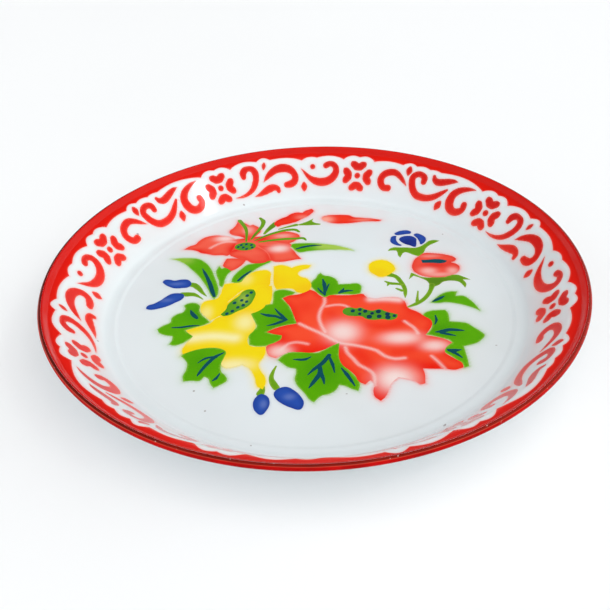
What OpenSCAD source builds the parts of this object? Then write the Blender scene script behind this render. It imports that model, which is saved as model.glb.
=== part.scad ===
// Round enamelled serving tray.
// One pressed disc of sheet steel: flat floor, shallow step, sloping wall, flared lip and a hollow
// rolled bead. Enamel is fired on in coats: ground, white cover, red rim, then the sprayed border
// and the flower spray on the floor. Millimetres, +Z up, origin under the middle of the floor.

/* [Node] */
// Sub-part to draw ("all" draws every one)

/* [Tray] */
// Diameter over the rolled bead
tray_d = 400; // [386:1:420]
// Height of the bead's crest over the face of the floor
depth = 39; // [38:0.5:39.5]
// Slope of the wall against the floor, degrees
wall_angle = 50; // [49:0.5:51]
// Slope of the flared lip against the floor, degrees
lip_angle = 20; // [17:1:23]
// Length of the flared lip
lip_length = 6.8; // [6.2:0.2:7.4]
// Slope of the upturn between the lip and the rolled bead, degrees
rise_angle = 60; // [56:1:64]
// Length of the upturn
rise_length = 4.2; // [3.8:0.1:4.6]
// Outer radius of the rolled bead
bead_radius = 2.2; // [2:0.1:2.4]
// Radius of the flat floor, up to the step
floor_radius = 152; // [150:0.5:152]
// Rise of the step round the floor
step_rise = 0.8; // [0.4:0.1:1.2]

/* [Sheet and coats] */
// Thickness of the steel
steel_thickness = 0.6; // [0.5:0.05:0.7]
// Thickness of each dark ground coat
ground_coat = 0.15; // [0.1:0.01:0.2]
// Thickness of each cover coat
cover_coat = 0.25; // [0.15:0.01:0.3]
// Thickness of the sprayed colours
colour_coat = 0.1; // [0.06:0.01:0.15]
// Thickness of the dark brush strokes laid over a colour
stroke_coat = 0.05; // [0.03:0.01:0.08]

/* [Border] */
// Direction of the first floret, degrees
first_floret = 28.7; // [0:0.1:44.9]
// Plan radius of the floret centres
border_radius = 176.6; // [175:0.1:177.5]
// How far the stencils crept towards one side of the border, degrees
stencil_creep = 1.6; // [0:0.1:2]

/* [Hidden] */
$fn = 180;

// Plan scale of the decoration, which grows with the tray
plan_scale = tray_d / 400;
// Height of the floor's glazed face over the resting plane
face_z = steel_thickness + 2 * ground_coat + 2 * cover_coat;
// Plan mm of radius for each mm up the developed wall
wall_lean = 0.65;
// Developed mm for each degree round the border
arc_mm = PI * border_radius / 180;
// Radii of the bends
step_bend = 2.5;
foot_bend = 9;
shoulder_bend = 8;
heel_bend = 1.2;
// Run of the step
step_run = 2.4;
// Turn between two points of the bead's section, degrees
bead_turn = 7.5;
// Where the bead's section ends, past the upturn, degrees
bead_sweep = 270;
// Where the cover coat ends and where the bead's red begins, degrees past the upturn
crest_in = 52.5;
crest_out = 97.5;
// Direction towards which the stencils crept
creep_to = 118.7;
// Where the back coats stop short of the curl
back_stop = 2.6;

// ---------------------------------------------------------------- section of the pressing

function unit(v) = v / norm(v);
function left(v) = [-v[1], v[0]];
function turn_of(a, b) = atan2(a[0] * b[1] - a[1] * b[0], a * b);
function spun(v, a) = [v[0] * cos(a) - v[1] * sin(a), v[0] * sin(a) + v[1] * cos(a)];

// Points of the bend of radius r at corner b between a and c
function bend(a, b, c, r, n) =
    let (d1 = unit(b - a), d2 = unit(c - b), t = turn_of(d1, d2))
    let (p = b - d1 * r * tan(abs(t) / 2), o = p + left(d1) * r * sign(t))
    [for (i = [0:n]) o + spun(p - o, t * i / n)];

bead_centre = [tray_d / 2 - bead_radius, face_z + depth - bead_radius];
rise_end = bead_centre + bead_radius * [-sin(rise_angle), cos(rise_angle)];
heel = rise_end - rise_length * [cos(rise_angle), sin(rise_angle)];
shoulder = heel - lip_length * [cos(lip_angle), sin(lip_angle)];
ledge_z = face_z + step_rise;
foot = [shoulder[0] - (shoulder[1] - ledge_z) / tan(wall_angle), ledge_z];
step_low = [floor_radius * plan_scale, face_z];
step_high = [step_low[0] + step_run, ledge_z];
stop_point = rise_end - back_stop * [cos(rise_angle), sin(rise_angle)];

dish = concat(
    [[0, face_z]],
    bend([0, face_z], step_low, step_high, step_bend, 2),
    bend(step_low, step_high, foot, step_bend, 2),
    bend(step_high, foot, shoulder, foot_bend, 8),
    bend(foot, shoulder, heel, shoulder_bend, 4),
    bend(shoulder, heel, rise_end, heel_bend, 3),
    [stop_point]);
bead = [for (a = [0:bead_turn:bead_sweep]) bead_centre + spun(rise_end - bead_centre, -a)];
section_line = concat(dish, bead);

last = len(section_line) - 1;
back_end = len(dish) - 1;
skin_start = 4;
crest_a = len(dish) + crest_in / bead_turn;
crest_b = len(dish) + crest_out / bead_turn;

// Section line point i moved t to its left, mitred
function moved(i, t) =
    let (a = section_line[max(i - 1, 0)], b = section_line[i], c = section_line[min(i + 1, last)])
    let (n1 = left(unit(i > 0 ? b - a : c - b)), n2 = left(unit(i < last ? c - b : b - a)))
    b + (n1 + n2) * t / (1 + n1 * n2);

// A coat between offsets t0 and t1, over points i0 to i1 of the section line
module coat(t0, t1, i0, i1) {
    rotate_extrude()
        polygon(concat(
            [for (i = [i0:i1]) moved(i, t1)],
            [for (i = [i1:-1:i0]) moved(i, t0)]));
}

// ---------------------------------------------------------------- outlines

function between(a, b, c, d, t) = 0.5 * (2 * b + (c - a) * t
    + (2 * a - 5 * b + 4 * c - d) * t * t + (3 * b - a - 3 * c + d) * t * t * t);

// Closed outline through p with m steps to each point
function loop(p, m) = let (n = len(p))
    [for (i = [0:n - 1]) for (j = [0:m - 1])
        between(p[(i + n - 1) % n], p[i], p[(i + 1) % n], p[(i + 2) % n], j / m)];

// Open line through p with m steps to each point
function run(p, m) = let (n = len(p)) concat(
    [for (i = [0:n - 2]) for (j = [0:m - 1])
        between(p[max(i - 1, 0)], p[i], p[i + 1], p[min(i + 2, n - 1)], j / m)],
    [p[n - 1]]);

function flat(p) = [p[0], p[1]];
function heading(q, i) = unit(flat(q[min(i + 1, len(q) - 1)]) - flat(q[max(i - 1, 0)]));

// Outline of a brush stroke: stations [x, y, half width], rounded ends
function stroke(p, m) = let (q = run(p, m), n = len(q) - 1)
    concat(
        [for (i = [0:n]) flat(q[i]) + left(heading(q, i)) * q[i][2]],
        [for (a = [45, 0, -45]) flat(q[n]) + spun(heading(q, n), a) * q[n][2]],
        [for (i = [n:-1:0]) flat(q[i]) - left(heading(q, i)) * q[i][2]],
        [for (a = [45, 0, -45]) flat(q[0]) - spun(heading(q, 0), a) * q[0][2]]);

function ring(c, rx, ry, tilt, n) = [for (i = [0:n - 1])
    c + spun([rx * cos(360 * i / n), ry * sin(360 * i / n)], tilt)];

// Developed border point [u, v], u clockwise from direction a0, put on the wall in plan
function on_wall(p, a0) =
    let (r = (border_radius + wall_lean * p[1]) * plan_scale, b = a0 - p[0] / arc_mm)
    let (a = b + stencil_creep * sin(creep_to - b))
    [r * cos(a), r * sin(a)];

module wall_shape(p, a0) {
    polygon([for (q = p) on_wall(q, a0)]);
}

module floor_shapes(list) {
    scale(plan_scale)
        for (p = list)
            polygon(p);
}

module floor_loops(list) {
    floor_shapes([for (p = list) loop(p, 2)]);
}

module floor_strokes(list) {
    floor_shapes([for (p = list) stroke(p, 2)]);
}

module floor_coat(z, t) {
    translate([0, 0, z])
        linear_extrude(height = t)
            children();
}

// Every quarter of the border carries one stretch of each kind, a floret before each
module round_border() {
    for (q = [0:3])
        rotate(90 * q)
            children();
}

module wall_coat() {
    intersection() {
        coat(0, colour_coat, skin_start, back_end);
        linear_extrude(height = 2 * depth)
            children();
    }
}

// ---------------------------------------------------------------- border outlines, developed mm

petal_half = [[12.7, 0], [14.5, 3.6], [13.8, 7], [10.6, 7.7], [7.6, 5.4], [5.8, 3.2], [5.3, 0]];
petal = concat(petal_half, [for (i = [len(petal_half) - 2:-1:1])
    [petal_half[i][0], -petal_half[i][1]]]);
floret_dot = 2.9;

scroll_hook = [[25.3, 5.5, 2.65], [25.6, 9, 3.45], [28.2, 12, 3.25], [31.5, 12.8, 2.65],
    [35.5, 11.3, 3.05], [37.4, 7.5, 3.35], [37, 2, 3.05], [34.8, -3, 3.15], [31, -7.8, 2.65],
    [25.5, -11, 1.95], [18.5, -12.6, 1.25], [12, -12.4, 0.2]];
scroll_arch = [[44, -2.5, 0.2], [47.5, 0.9, 2.05], [51.5, 4.2, 3.05], [57.5, 7.6, 3.75],
    [64, 8.8, 4.25], [70.5, 7.3, 3.95], [75, 3.2, 3.25], [76.4, -1.3, 3.35], [74.8, -5.5, 3.65],
    [70.5, -7.6, 3.65], [67, -7.9, 3.05]];
scroll_smile = [[82.8, 6.8, 0.2], [86.3, 2.6, 1.35], [89.5, -1.2, 2.15], [96, -5.6, 3.65],
    [103, -7, 4.15], [110, -5.4, 4.05], [115.5, -0.6, 3.75], [117.2, 5, 3.15],
    [115.2, 9.4, 2.85], [110.8, 10.9, 2.85], [107.2, 9.2, 3.05]];
scroll_c = [[50.4, -1.9, 0.4], [46.5, 1.6, 1.85], [42, 5.3, 2.55], [36.5, 8, 3.15],
    [31, 7.4, 3.45], [26.3, 4.6, 3.45], [24, 0, 3.45], [24.8, -4.2, 3.45], [28.5, -7.8, 3.25],
    [33, -7.6, 3.35]];
scroll_s = [[66.3, 5.2, 2.85], [65.8, 9, 3.15], [62, 11.2, 2.85], [57.8, 10.6, 3.05],
    [54.7, 7, 3.15], [55.3, 2.2, 3.35], [58, -3.6, 3.45], [63.5, -8.2, 3.55], [69, -9, 3.45],
    [75, -8.2, 3.25], [81.5, -5.2, 3.15], [87, -0.3, 2.45], [91.3, 4.4, 1.25]];
scroll_g = [[117.6, 14, 0.4], [112, 12.5, 1.85], [106.5, 10, 2.75], [102, 6.6, 3.45],
    [99.1, 1.8, 3.95], [99, -4, 4.45], [101.2, -8.6, 4.35], [106.5, -11.2, 3.65],
    [112, -9.8, 3.55], [115, -6, 3.15], [114.3, -2, 3.15]];
leaf_comma_in = [[32, -15, 0.2], [38, -13.8, 2.05], [44, -11.6, 3.35], [49.5, -9.6, 3.85],
    [54, -9.2, 3.15], [57.2, -11, 2.75], [57.8, -13, 2.25]];
leaf_comma_out = [[74.4, 12.8, 1.65], [75.8, 10.3, 2.65], [79, 8.8, 3.35], [84, 9.8, 3.45],
    [90, 12.4, 2.95], [95, 14.2, 1.95], [98, 14.6, 0.3]];
// Rows of the diamonds: centre, half length, half width, tilt
diamonds_a = [[[47, 12.8], 1.7, 3.3, -15], [[84.8, -11], 2.9, 4, 0]];
diamonds_b = [[[49.3, 12.3], 2.7, 4.3, 0], [[89, -11.3], 3.2, 4.4, -15]];
border_dot = [[94.2, 8.2], 2.5, 2.5, 0];

// Scalloped edge of the rim band: rows [u, v, outward bulge to the next row]
scallops_a = [[-14.5, 15.5, 4.5], [0, 20.1, 4.5], [14.5, 15.2, 5.4], [41, 18.9, 5.5],
    [54, 19.1, 3], [84, 14.6, 2.8], [98.5, 17.4, 4.2], [124.2, 15.5, 0]];
scallops_b = [[-14.5, 15.5, 4.5], [0, 20.1, 4.5], [14.5, 15.4, 2.5], [42, 16.6, 4.5],
    [55, 18.6, 2.4], [68, 18.4, 1.5], [79, 18.6, 5.4], [124.2, 15.5, 0]];

function scallop_line(rows, m) = [for (i = [0:len(rows) - 2]) for (j = [0:m - 1])
    let (a = rows[i], b = rows[i + 1], t = j / m)
    [a[0] + (b[0] - a[0]) * t, a[1] + (b[1] - a[1]) * t + a[2] * sin(180 * t)]];

band_edge = [for (q = [0:3]) for (part = [0, 1])
    for (p = scallop_line(part == 0 ? scallops_a : scallops_b, 5))
        on_wall(p, first_floret - 90 * q - 45 * part)];

module floret(a0) {
    for (s = [-1, 1]) {
        wall_shape(loop([for (p = petal) [s * p[0], p[1]]], 2), a0);
        wall_shape(loop([for (p = petal) [p[1], s * p[0]]], 2), a0);
    }
    wall_shape(ring([0, 0.5], floret_dot, floret_dot, 0, 20), a0);
}

// ---------------------------------------------------------------- flower outlines, mm on the floor

lily_left = [[-113, 79.5], [-109, 84], [-104, 87], [-101.5, 92], [-98, 97], [-91, 100.5],
    [-86, 101], [-80, 99.5], [-73, 96.5], [-69, 92], [-68, 87], [-69, 81], [-70.5, 75],
    [-72, 69], [-74, 66.5], [-78, 68], [-86, 68.5], [-92, 71], [-97, 72.5], [-101, 76],
    [-107, 78.5]];
lily_top = [[-68.5, 126], [-69.5, 120], [-72, 113], [-75, 108], [-74.5, 104], [-71, 100.5],
    [-66, 98.5], [-61, 95], [-58, 91], [-55, 91], [-52, 95], [-48.5, 101], [-46.5, 105],
    [-47.5, 110], [-50, 114], [-54, 117.5], [-57, 116], [-60, 119], [-64, 123]];
lily_right = [[-52, 89], [-46, 93], [-40, 98], [-33, 101.5], [-25, 103.5], [-17, 101],
    [-12, 97], [-11, 93.5], [-14.5, 88], [-18, 84.5], [-22, 83], [-28, 84.5], [-36, 87],
    [-45, 87.5]];
lily_low = [[-48, 82], [-40, 80], [-30, 81], [-22, 80], [-19.5, 76], [-16, 70], [-13.5, 64],
    [-10, 57.5], [-15, 56.5], [-21, 55], [-28, 54], [-34, 55.5], [-36, 60], [-37.5, 66],
    [-41, 73], [-45.5, 78]];
lily_front = [[-50, 79], [-45, 75.5], [-40.5, 70], [-38, 63], [-37.5, 58], [-40, 54.5],
    [-46, 53], [-52, 54], [-56, 58], [-60, 62], [-66, 64], [-71, 66], [-71.5, 72], [-66, 76],
    [-58, 76]];
lily_small = [[-76, 50], [-75.5, 57], [-74, 62], [-68, 62], [-62, 60.5], [-57.5, 58],
    [-59, 54], [-62, 49], [-66, 45], [-69, 43], [-72, 46.5]];
lily_base = [[-80, 92], [-72, 68], [-46, 56], [-30, 58], [-18, 80], [-30, 98], [-50, 96],
    [-62, 94]];
lily_heart = [[-68, 82], [-64, 86], [-57, 87], [-51, 84], [-50, 79], [-53, 75.5], [-58, 74],
    [-64, 75], [-68, 78]];
lily_stamens = [
    [[-67, 126, 2], [-63.5, 119, 1.8], [-60, 109, 1.6], [-59, 100, 1.2], [-58.8, 89, 0.8]],
    [[-48, 129.5, 1.2], [-45, 124, 2.2], [-45.2, 116, 1.8], [-48, 108, 1.6], [-51.5, 100, 1.3],
        [-54.5, 92, 0.8]],
    [[-11.5, 102, 1], [-14.5, 105.5, 1.8], [-22, 106, 1.8], [-32, 102.5, 1.7], [-41, 97.5, 1.4],
        [-51, 90, 0.7]],
    [[-5.5, 87.5, 0.8], [-7.5, 90.5, 1.6], [-14, 90.5, 1.6], [-25, 90.5, 1.8], [-37, 89, 1.5],
        [-47, 87, 0.9]]];

bud_left = [[-34.5, 117], [-33, 122], [-29, 126.5], [-23, 130.5], [-19, 135], [-13, 137.5],
    [-8, 136.5], [-6, 139.5], [-2, 142], [0.5, 143.5], [2.5, 140], [0, 134], [-4, 129],
    [-9, 125], [-13, 121], [-20, 117.5], [-27, 115], [-31, 112.5]];
bud_right = [[10, 124], [11, 127.5], [15, 129.5], [22, 130], [30, 129.5], [36, 128], [39, 125],
    [46, 123], [53, 121.5], [60, 119.5], [65, 117.5], [63, 116], [55, 116], [47, 116],
    [38, 114.5], [28, 114], [19, 115.5], [14, 119], [11, 121.5]];
bud_calyx = [[-12, 113.5], [-4, 113], [8, 113], [8.5, 115], [3, 117.5], [1, 120], [2, 125],
    [-2, 121.5], [-7, 118], [-12, 115.5]];
bud_stems = [
    [[-43, 101, 1.2], [-39.5, 108, 2.2], [-36, 114, 3], [-34, 119, 2]],
    [[-30, 108, 0.8], [-22, 111.5, 1.3], [-14, 114.5, 2]]];

yellow_top = [[-33, 47], [-28, 49], [-22, 47], [-18, 44], [-14, 46.5], [-8, 48], [-2, 47],
    [-4, 43], [-10, 40], [-13, 35], [-11, 31], [-6, 28], [-3.5, 24], [-2, 19], [-3, 13],
    [-7, 7.5], [-13, 9], [-17, 14], [-24, 15], [-30, 14], [-32, 19], [-33, 28], [-33, 38]];
yellow_back = [[-73, 24], [-68, 25], [-60, 26], [-56, 33], [-50, 40], [-44, 42], [-39, 42],
    [-36, 39], [-35.5, 30], [-35.5, 21], [-40, 21.5], [-46, 21], [-48, 18], [-52, 16],
    [-57, 15], [-60, 12], [-64, 6], [-68, 0], [-68.5, -7], [-70, -13], [-73, -17], [-76, -20],
    [-80, -23], [-84, -18], [-88, -12], [-89, -5], [-87, 1], [-82, 3], [-78, 4], [-75, 10],
    [-74, 18]];
yellow_side = [[-46, 16], [-40, 19.5], [-34, 19], [-33.5, 12], [-34, 0], [-35, -5], [-40, -6],
    [-46, -5], [-47.5, 0], [-47, 8]];
yellow_front = [[-97, -34], [-90, -31], [-84, -29], [-79, -26], [-76, -21], [-73, -19],
    [-66, -19.5], [-60, -16.5], [-54, -12], [-50.5, -12], [-49.5, -16], [-47, -24], [-45, -31],
    [-46, -37], [-49.5, -43], [-50, -50], [-48.5, -54], [-42, -56], [-37, -56], [-36.5, -62],
    [-38, -68], [-41, -74], [-39, -82], [-36, -88], [-35.5, -95], [-37, -100], [-40, -98],
    [-43, -88], [-47, -79], [-52, -74], [-58, -76], [-63, -77], [-67, -74], [-66, -67],
    [-65, -60], [-70, -56], [-79, -55], [-88, -57], [-96, -61], [-97, -57], [-95, -50],
    [-92, -44], [-91, -41], [-95, -37]];
yellow_base = [[-77, -17], [-66, 2], [-56, 16], [-50, 24], [-36, 24], [-37, 4], [-40, -10],
    [-50, -17], [-62, -20]];
yellow_heart = [[-72.5, -16], [-69, -10], [-68, -4], [-65, 1], [-60, 7], [-57, 13], [-53, 15.5],
    [-48.5, 15], [-46.8, 10], [-48, 2], [-50, -4], [-54, -9], [-60, -13], [-66, -17.5],
    [-71, -18]];
yellow_bud = [[46.5, 40], [48, 46], [53, 50], [58, 51], [64, 48], [67.5, 42], [68, 36],
    [64.5, 31], [59.5, 27], [55, 26], [50.5, 29.5], [47, 34.5]];
yellow_bud_stems = [
    [[62, 29, 3], [67, 26, 2.2], [70.5, 18, 2], [72.5, 8, 1.8], [72, 1, 1.4],
        [71.3, -3.5, 0.3]],
    [[58, 19.5, 0.8], [62, 16.5, 1.8], [67, 15.5, 1.6], [71, 14, 1.2]],
    [[59, 13, 0.3], [60.5, 16, 1.4]],
    [[66, 9, 1], [70, 6, 1.5]]];

peony = [[-25, 2], [-20, 5], [-13, 6], [-7, 9], [-3, 12], [1, 9], [5, 3], [8, 1], [13, 3.5],
    [19, 3], [26, 2.5], [33, 3], [38, 3.5], [42, -2], [46, -4], [56, -3], [66, -4], [70, -8],
    [72, -17], [78, -22], [83, -28], [87, -33], [87, -38], [84, -44], [80, -50], [86, -52],
    [93, -55], [98, -59.5], [93, -64], [91, -69], [96, -76], [101, -82], [101, -86], [94, -88],
    [89, -87], [85, -86.5], [78, -86], [73, -85.5], [73.5, -90], [72.5, -100], [70, -101],
    [65, -97], [55, -93], [49, -100], [47, -106], [44, -112], [41, -115], [37.5, -111],
    [37, -105], [38.5, -98], [36, -95], [32, -99], [28, -96], [26, -90], [22, -84], [18, -79],
    [16, -72], [16, -64], [17, -55], [12, -57.5], [5, -62], [-3, -64.5], [-12, -63.5],
    [-20, -63], [-25, -66], [-29, -69], [-33, -67], [-36, -60], [-36, -56], [-30, -52],
    [-25.5, -48], [-25, -44], [-30, -42.5], [-36.5, -39.5], [-30, -35.5], [-20, -32],
    [-14, -31], [-15, -26], [-17, -18], [-19, -10], [-22, -4]];
peony_heart = [[21.5, -17], [24, -14], [28, -13.5], [32, -15], [35, -14], [39, -16.5],
    [44, -18.5], [50, -17], [54, -20], [59, -22.5], [63, -24.5], [62, -28], [57, -31],
    [51, -29.5], [44, -30], [38, -28], [36, -25.5], [30, -24.5], [24, -23], [21.5, -20]];
// Bare lines between the petals
peony_gaps = [
    [[8, -1, 0.3], [7, -8, 0.6], [5, -14, 0.7], [3, -24, 0.7], [4.5, -36, 0.7], [6, -41, 0.3]],
    [[-11, -32, 0.3], [-6, -36, 0.6], [2, -42, 0.8], [10, -49, 0.8], [17, -54, 0.8],
        [27, -58, 0.8], [35, -61, 0.8], [43, -65, 0.8], [48, -71, 0.7], [55, -74.5, 0.6],
        [61, -74, 0.3]],
    [[22, -61, 0.3], [22, -66, 0.6], [26, -73, 0.7], [29, -79, 0.7], [34, -83.5, 0.7],
        [38, -88, 0.6], [39, -93, 0.3]],
    [[67, -33, 0.3], [70, -37, 0.7], [73, -41, 0.7], [75, -47, 0.3]]];

poppy = [[90, 54], [95, 58.5], [104, 58], [113, 55.5], [119, 52], [121, 48.5], [119, 45],
    [115.5, 43.5], [119, 41.5], [121.5, 38], [121, 33], [118, 28.5], [113, 25], [106, 22.5],
    [98, 22.5], [91, 24.5], [86, 28], [83, 33], [82.5, 39], [84.5, 46], [87, 51]];
poppy_slit = [[91.5, 48.5], [97, 48.5], [104, 49], [109, 48], [113, 46], [111, 43.5],
    [107, 42.5], [100, 43.5], [92, 44]];
poppy_calyx = [[77.5, 21], [79, 26], [80.5, 30.5], [83, 28.5], [88, 24], [93, 22.5],
    [100, 23], [107, 22.5], [113, 25], [118, 25], [122, 22], [127, 17.5], [121, 18],
    [122.5, 12], [120.5, 6.5], [119.5, 10], [117, 15], [111, 17], [105, 16], [100, 11.5],
    [95, 9], [93.5, 12], [91.5, 18], [87, 22.5], [82, 26]];
poppy_stems = [
    [[72, -15.5, 0.8], [78, -12.5, 1.8], [84.5, -7.5, 1.8], [89.5, -1, 1.8], [93, 6, 1.8],
        [95, 12, 2.5]],
    [[80, -9, 1.5], [81, -3, 0.9], [82.5, 4.5, 0.6]]];

blue_top = [[74, 92], [77, 95.5], [82, 97.5], [87, 97], [89, 95], [88.5, 92], [84, 91],
    [79, 90], [75.5, 90]];
blue_left = [[75, 88.5], [71.5, 88], [69.5, 84], [69, 80], [70.5, 76], [74, 73], [76.5, 72],
    [78, 72.5], [76, 75.5], [74.5, 80], [74.5, 85]];
blue_right = [[91.5, 90.5], [94, 91.5], [98, 88.5], [100.5, 84], [100, 79], [97.5, 75],
    [94.8, 73], [94.3, 77], [93.3, 83]];
blue_heart = [[77, 83], [79, 86], [84, 88], [89, 87], [92, 83], [91.5, 77], [90.5, 71.5],
    [89.5, 69.5], [85.5, 72], [81, 75], [78, 79]];
blue_calyx = [[65, 64.5], [67, 68], [71, 70], [76, 69.5], [82, 69], [89, 68], [94, 70],
    [99, 74.5], [103, 78.5], [108, 79.5], [112, 78], [108, 75], [102, 71], [98, 66], [96, 61],
    [93, 57], [90, 54.5], [86, 57], [82, 60.5], [80, 61.5], [78, 60.5], [76, 57], [74.5, 53.5],
    [73, 57], [73, 61], [72.5, 64.5], [69, 65]];
blue_buds = [
    [[-124.5, 31], [-123, 33.5], [-119, 33.5], [-115, 32], [-110, 33], [-104, 32.5], [-101, 29],
        [-100.3, 25], [-102, 22], [-107, 21], [-113, 21], [-118, 23.5], [-122.5, 27.5]],
    [[-104, 10], [-106, 13], [-110, 14], [-114.5, 13.5], [-118, 10.5], [-122, 5.5], [-127, 1],
        [-131.5, -1.5], [-132, -5], [-129, -6.5], [-122, -5.5], [-116, -3], [-110, 1.5],
        [-105, 6]],
    [[-38, -104.5], [-34, -106.5], [-32, -112], [-33.5, -119], [-37.5, -123.5], [-41, -120.5],
        [-43, -114.5], [-41.5, -107.5]],
    [[-29.5, -104], [-26, -99.5], [-21, -98.5], [-16, -102], [-11.5, -108], [-9.5, -115],
        [-12, -120], [-18, -118], [-24, -114], [-28, -109.5]]];
blue_bud_stems = [
    [[-37, -98, 1.4], [-37.5, -101, 2.2], [-38.5, -104, 2.8]],
    [[-28.5, -77.5, 0.6], [-30.5, -83, 1.2], [-31.5, -90, 1.8], [-30, -95, 2.5],
        [-28, -99, 2.5]],
    [[-102, 26, 2.6], [-98, 24.5, 3], [-93.5, 19.5, 2.4], [-89.5, 13, 1.4], [-86, 8.5, 0.4]],
    [[-106, 13, 2], [-102, 12, 3], [-97, 11.5, 2.4], [-92.5, 8.5, 1.2], [-88.5, 4.5, 0.4]]];

blades = [
    [[-122, 65], [-110, 65.5], [-98, 63], [-91, 56], [-86, 47], [-82, 35], [-79, 25],
        [-77, 15], [-77.5, 9], [-79.5, 4], [-82, 8], [-85.5, 17], [-90, 27], [-96, 38],
        [-103, 48], [-110, 57], [-117, 62.5]],
    [[-79.5, 51], [-77, 47], [-74, 48.5], [-70, 48], [-68.5, 44], [-71.5, 38], [-73, 31],
        [-73.5, 24], [-74.5, 20], [-76.5, 22], [-78, 29], [-80.5, 37], [-81.5, 44]],
    [[-36, 57], [-36, 55], [-40, 51.5], [-46, 46.5], [-50, 42], [-55, 36], [-58, 30],
        [-60, 26], [-64, 25.5], [-67.5, 27], [-67, 33], [-64, 40], [-60, 46], [-55.5, 51.5],
        [-50, 53], [-45, 55], [-40, 59]],
    [[-20, 79], [-17, 82], [-10, 82.5], [0, 82], [10, 80], [20, 77], [30, 72], [36, 67.5],
        [28, 69], [18, 70], [8, 70], [-4, 69], [-12, 68], [-15.5, 72], [-17.5, 76]]];
lobed_leaves = [
    [[-102.5, -3], [-100, -0.5], [-93, -0.5], [-90, -4], [-89.5, -10], [-87, -16], [-83, -21],
        [-80, -25], [-84, -28], [-90, -30.5], [-97.5, -33.5], [-96, -36], [-92, -39],
        [-91, -41.5], [-94, -45], [-99, -49.5], [-104, -51], [-107.5, -49.5], [-106, -44],
        [-106.5, -40], [-111, -39], [-117, -35.5], [-119, -31.5], [-115, -27], [-110.5, -24],
        [-110, -18], [-107, -14], [-102, -11], [-101, -7]],
    [[-97, -63], [-95, -60], [-88, -56.5], [-79, -55], [-70, -56], [-65, -59], [-64.5, -62],
        [-66, -68], [-67.5, -75], [-66.5, -81], [-63.5, -85], [-62, -90], [-66, -94],
        [-70.5, -97], [-73, -93], [-75.5, -87], [-78, -85.5], [-81, -89.5], [-86, -89],
        [-92, -89.5], [-93, -84], [-91.5, -78], [-92, -70], [-94.5, -66]],
    [[-27.5, -71], [-24, -66.5], [-19, -63.5], [-12, -63.5], [-5, -64], [0, -65], [5, -62.5],
        [12, -57.5], [16.5, -55], [17, -60], [16, -68], [17, -75], [19, -80], [22, -84],
        [25, -89], [27.5, -94], [28.5, -99], [27, -105], [23, -103], [18, -99.5],
        [14.5, -98.5], [13, -102], [9, -106], [2, -108.5], [-3, -114], [-6, -111], [-8, -107],
        [-10, -103.5], [-14, -97], [-15.5, -91], [-14.5, -85], [-14.5, -81], [-20, -79],
        [-24, -75]],
    [[-31.5, 11.5], [-27, 13.5], [-20, 12], [-15, 9], [-17, 6.5], [-22, 4.5], [-25.5, 1.5],
        [-24, -1], [-21, -6], [-18.5, -13], [-16.5, -20], [-15, -27], [-13.5, -30.5],
        [-19, -31.5], [-25, -33], [-31, -35.5], [-36.5, -39.5], [-33, -41.5], [-28, -42.5],
        [-25, -44], [-25.5, -48], [-30, -52], [-36, -55], [-42, -55.5], [-48.5, -53.5],
        [-49, -48], [-49.5, -43], [-47, -38], [-44, -33], [-45.5, -27], [-48, -20],
        [-49.5, -14], [-48, -10.5], [-43, -7.5], [-36, -5.5], [-33, -5], [-32.5, 0],
        [-32.5, 6]],
    [[6, 35], [8, 32], [13, 30], [17, 27], [19.5, 22], [20, 18], [28, 18], [36.5, 17.5],
        [38, 15], [38, 10], [36.5, 4.5], [32, 3.5], [26, 4], [19, 4.5], [8, 1], [4, 5.5],
        [0, 12], [-2.5, 18], [-1.5, 23], [2, 28], [4, 33]],
    [[81, -49], [85, -44], [87, -38], [86.5, -33], [83, -29.5], [82, -26], [84, -23.5],
        [88, -21.5], [94, -21], [99.5, -21], [101, -24], [101, -30], [100.5, -35], [106, -36],
        [113, -38], [117, -43], [121, -48], [123, -52], [120, -57], [115, -61], [109, -63],
        [105.5, -64], [105.5, -70], [105.5, -78], [105, -85], [101.5, -86.5], [101, -82],
        [98, -78], [94, -73], [91, -69], [91.5, -66], [95, -62], [98, -59.5], [97, -57],
        [92, -54], [86, -51]],
    [[90, -11], [94, -6.5], [99, -1.5], [104, 1.5], [109, 2.5], [113, 2], [112, -1],
        [111, -3.5], [117, -4], [121, -9], [124, -16], [126, -24], [123, -21], [118, -17.5],
        [110, -13.5], [102, -11.5], [95, -12]]];

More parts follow.
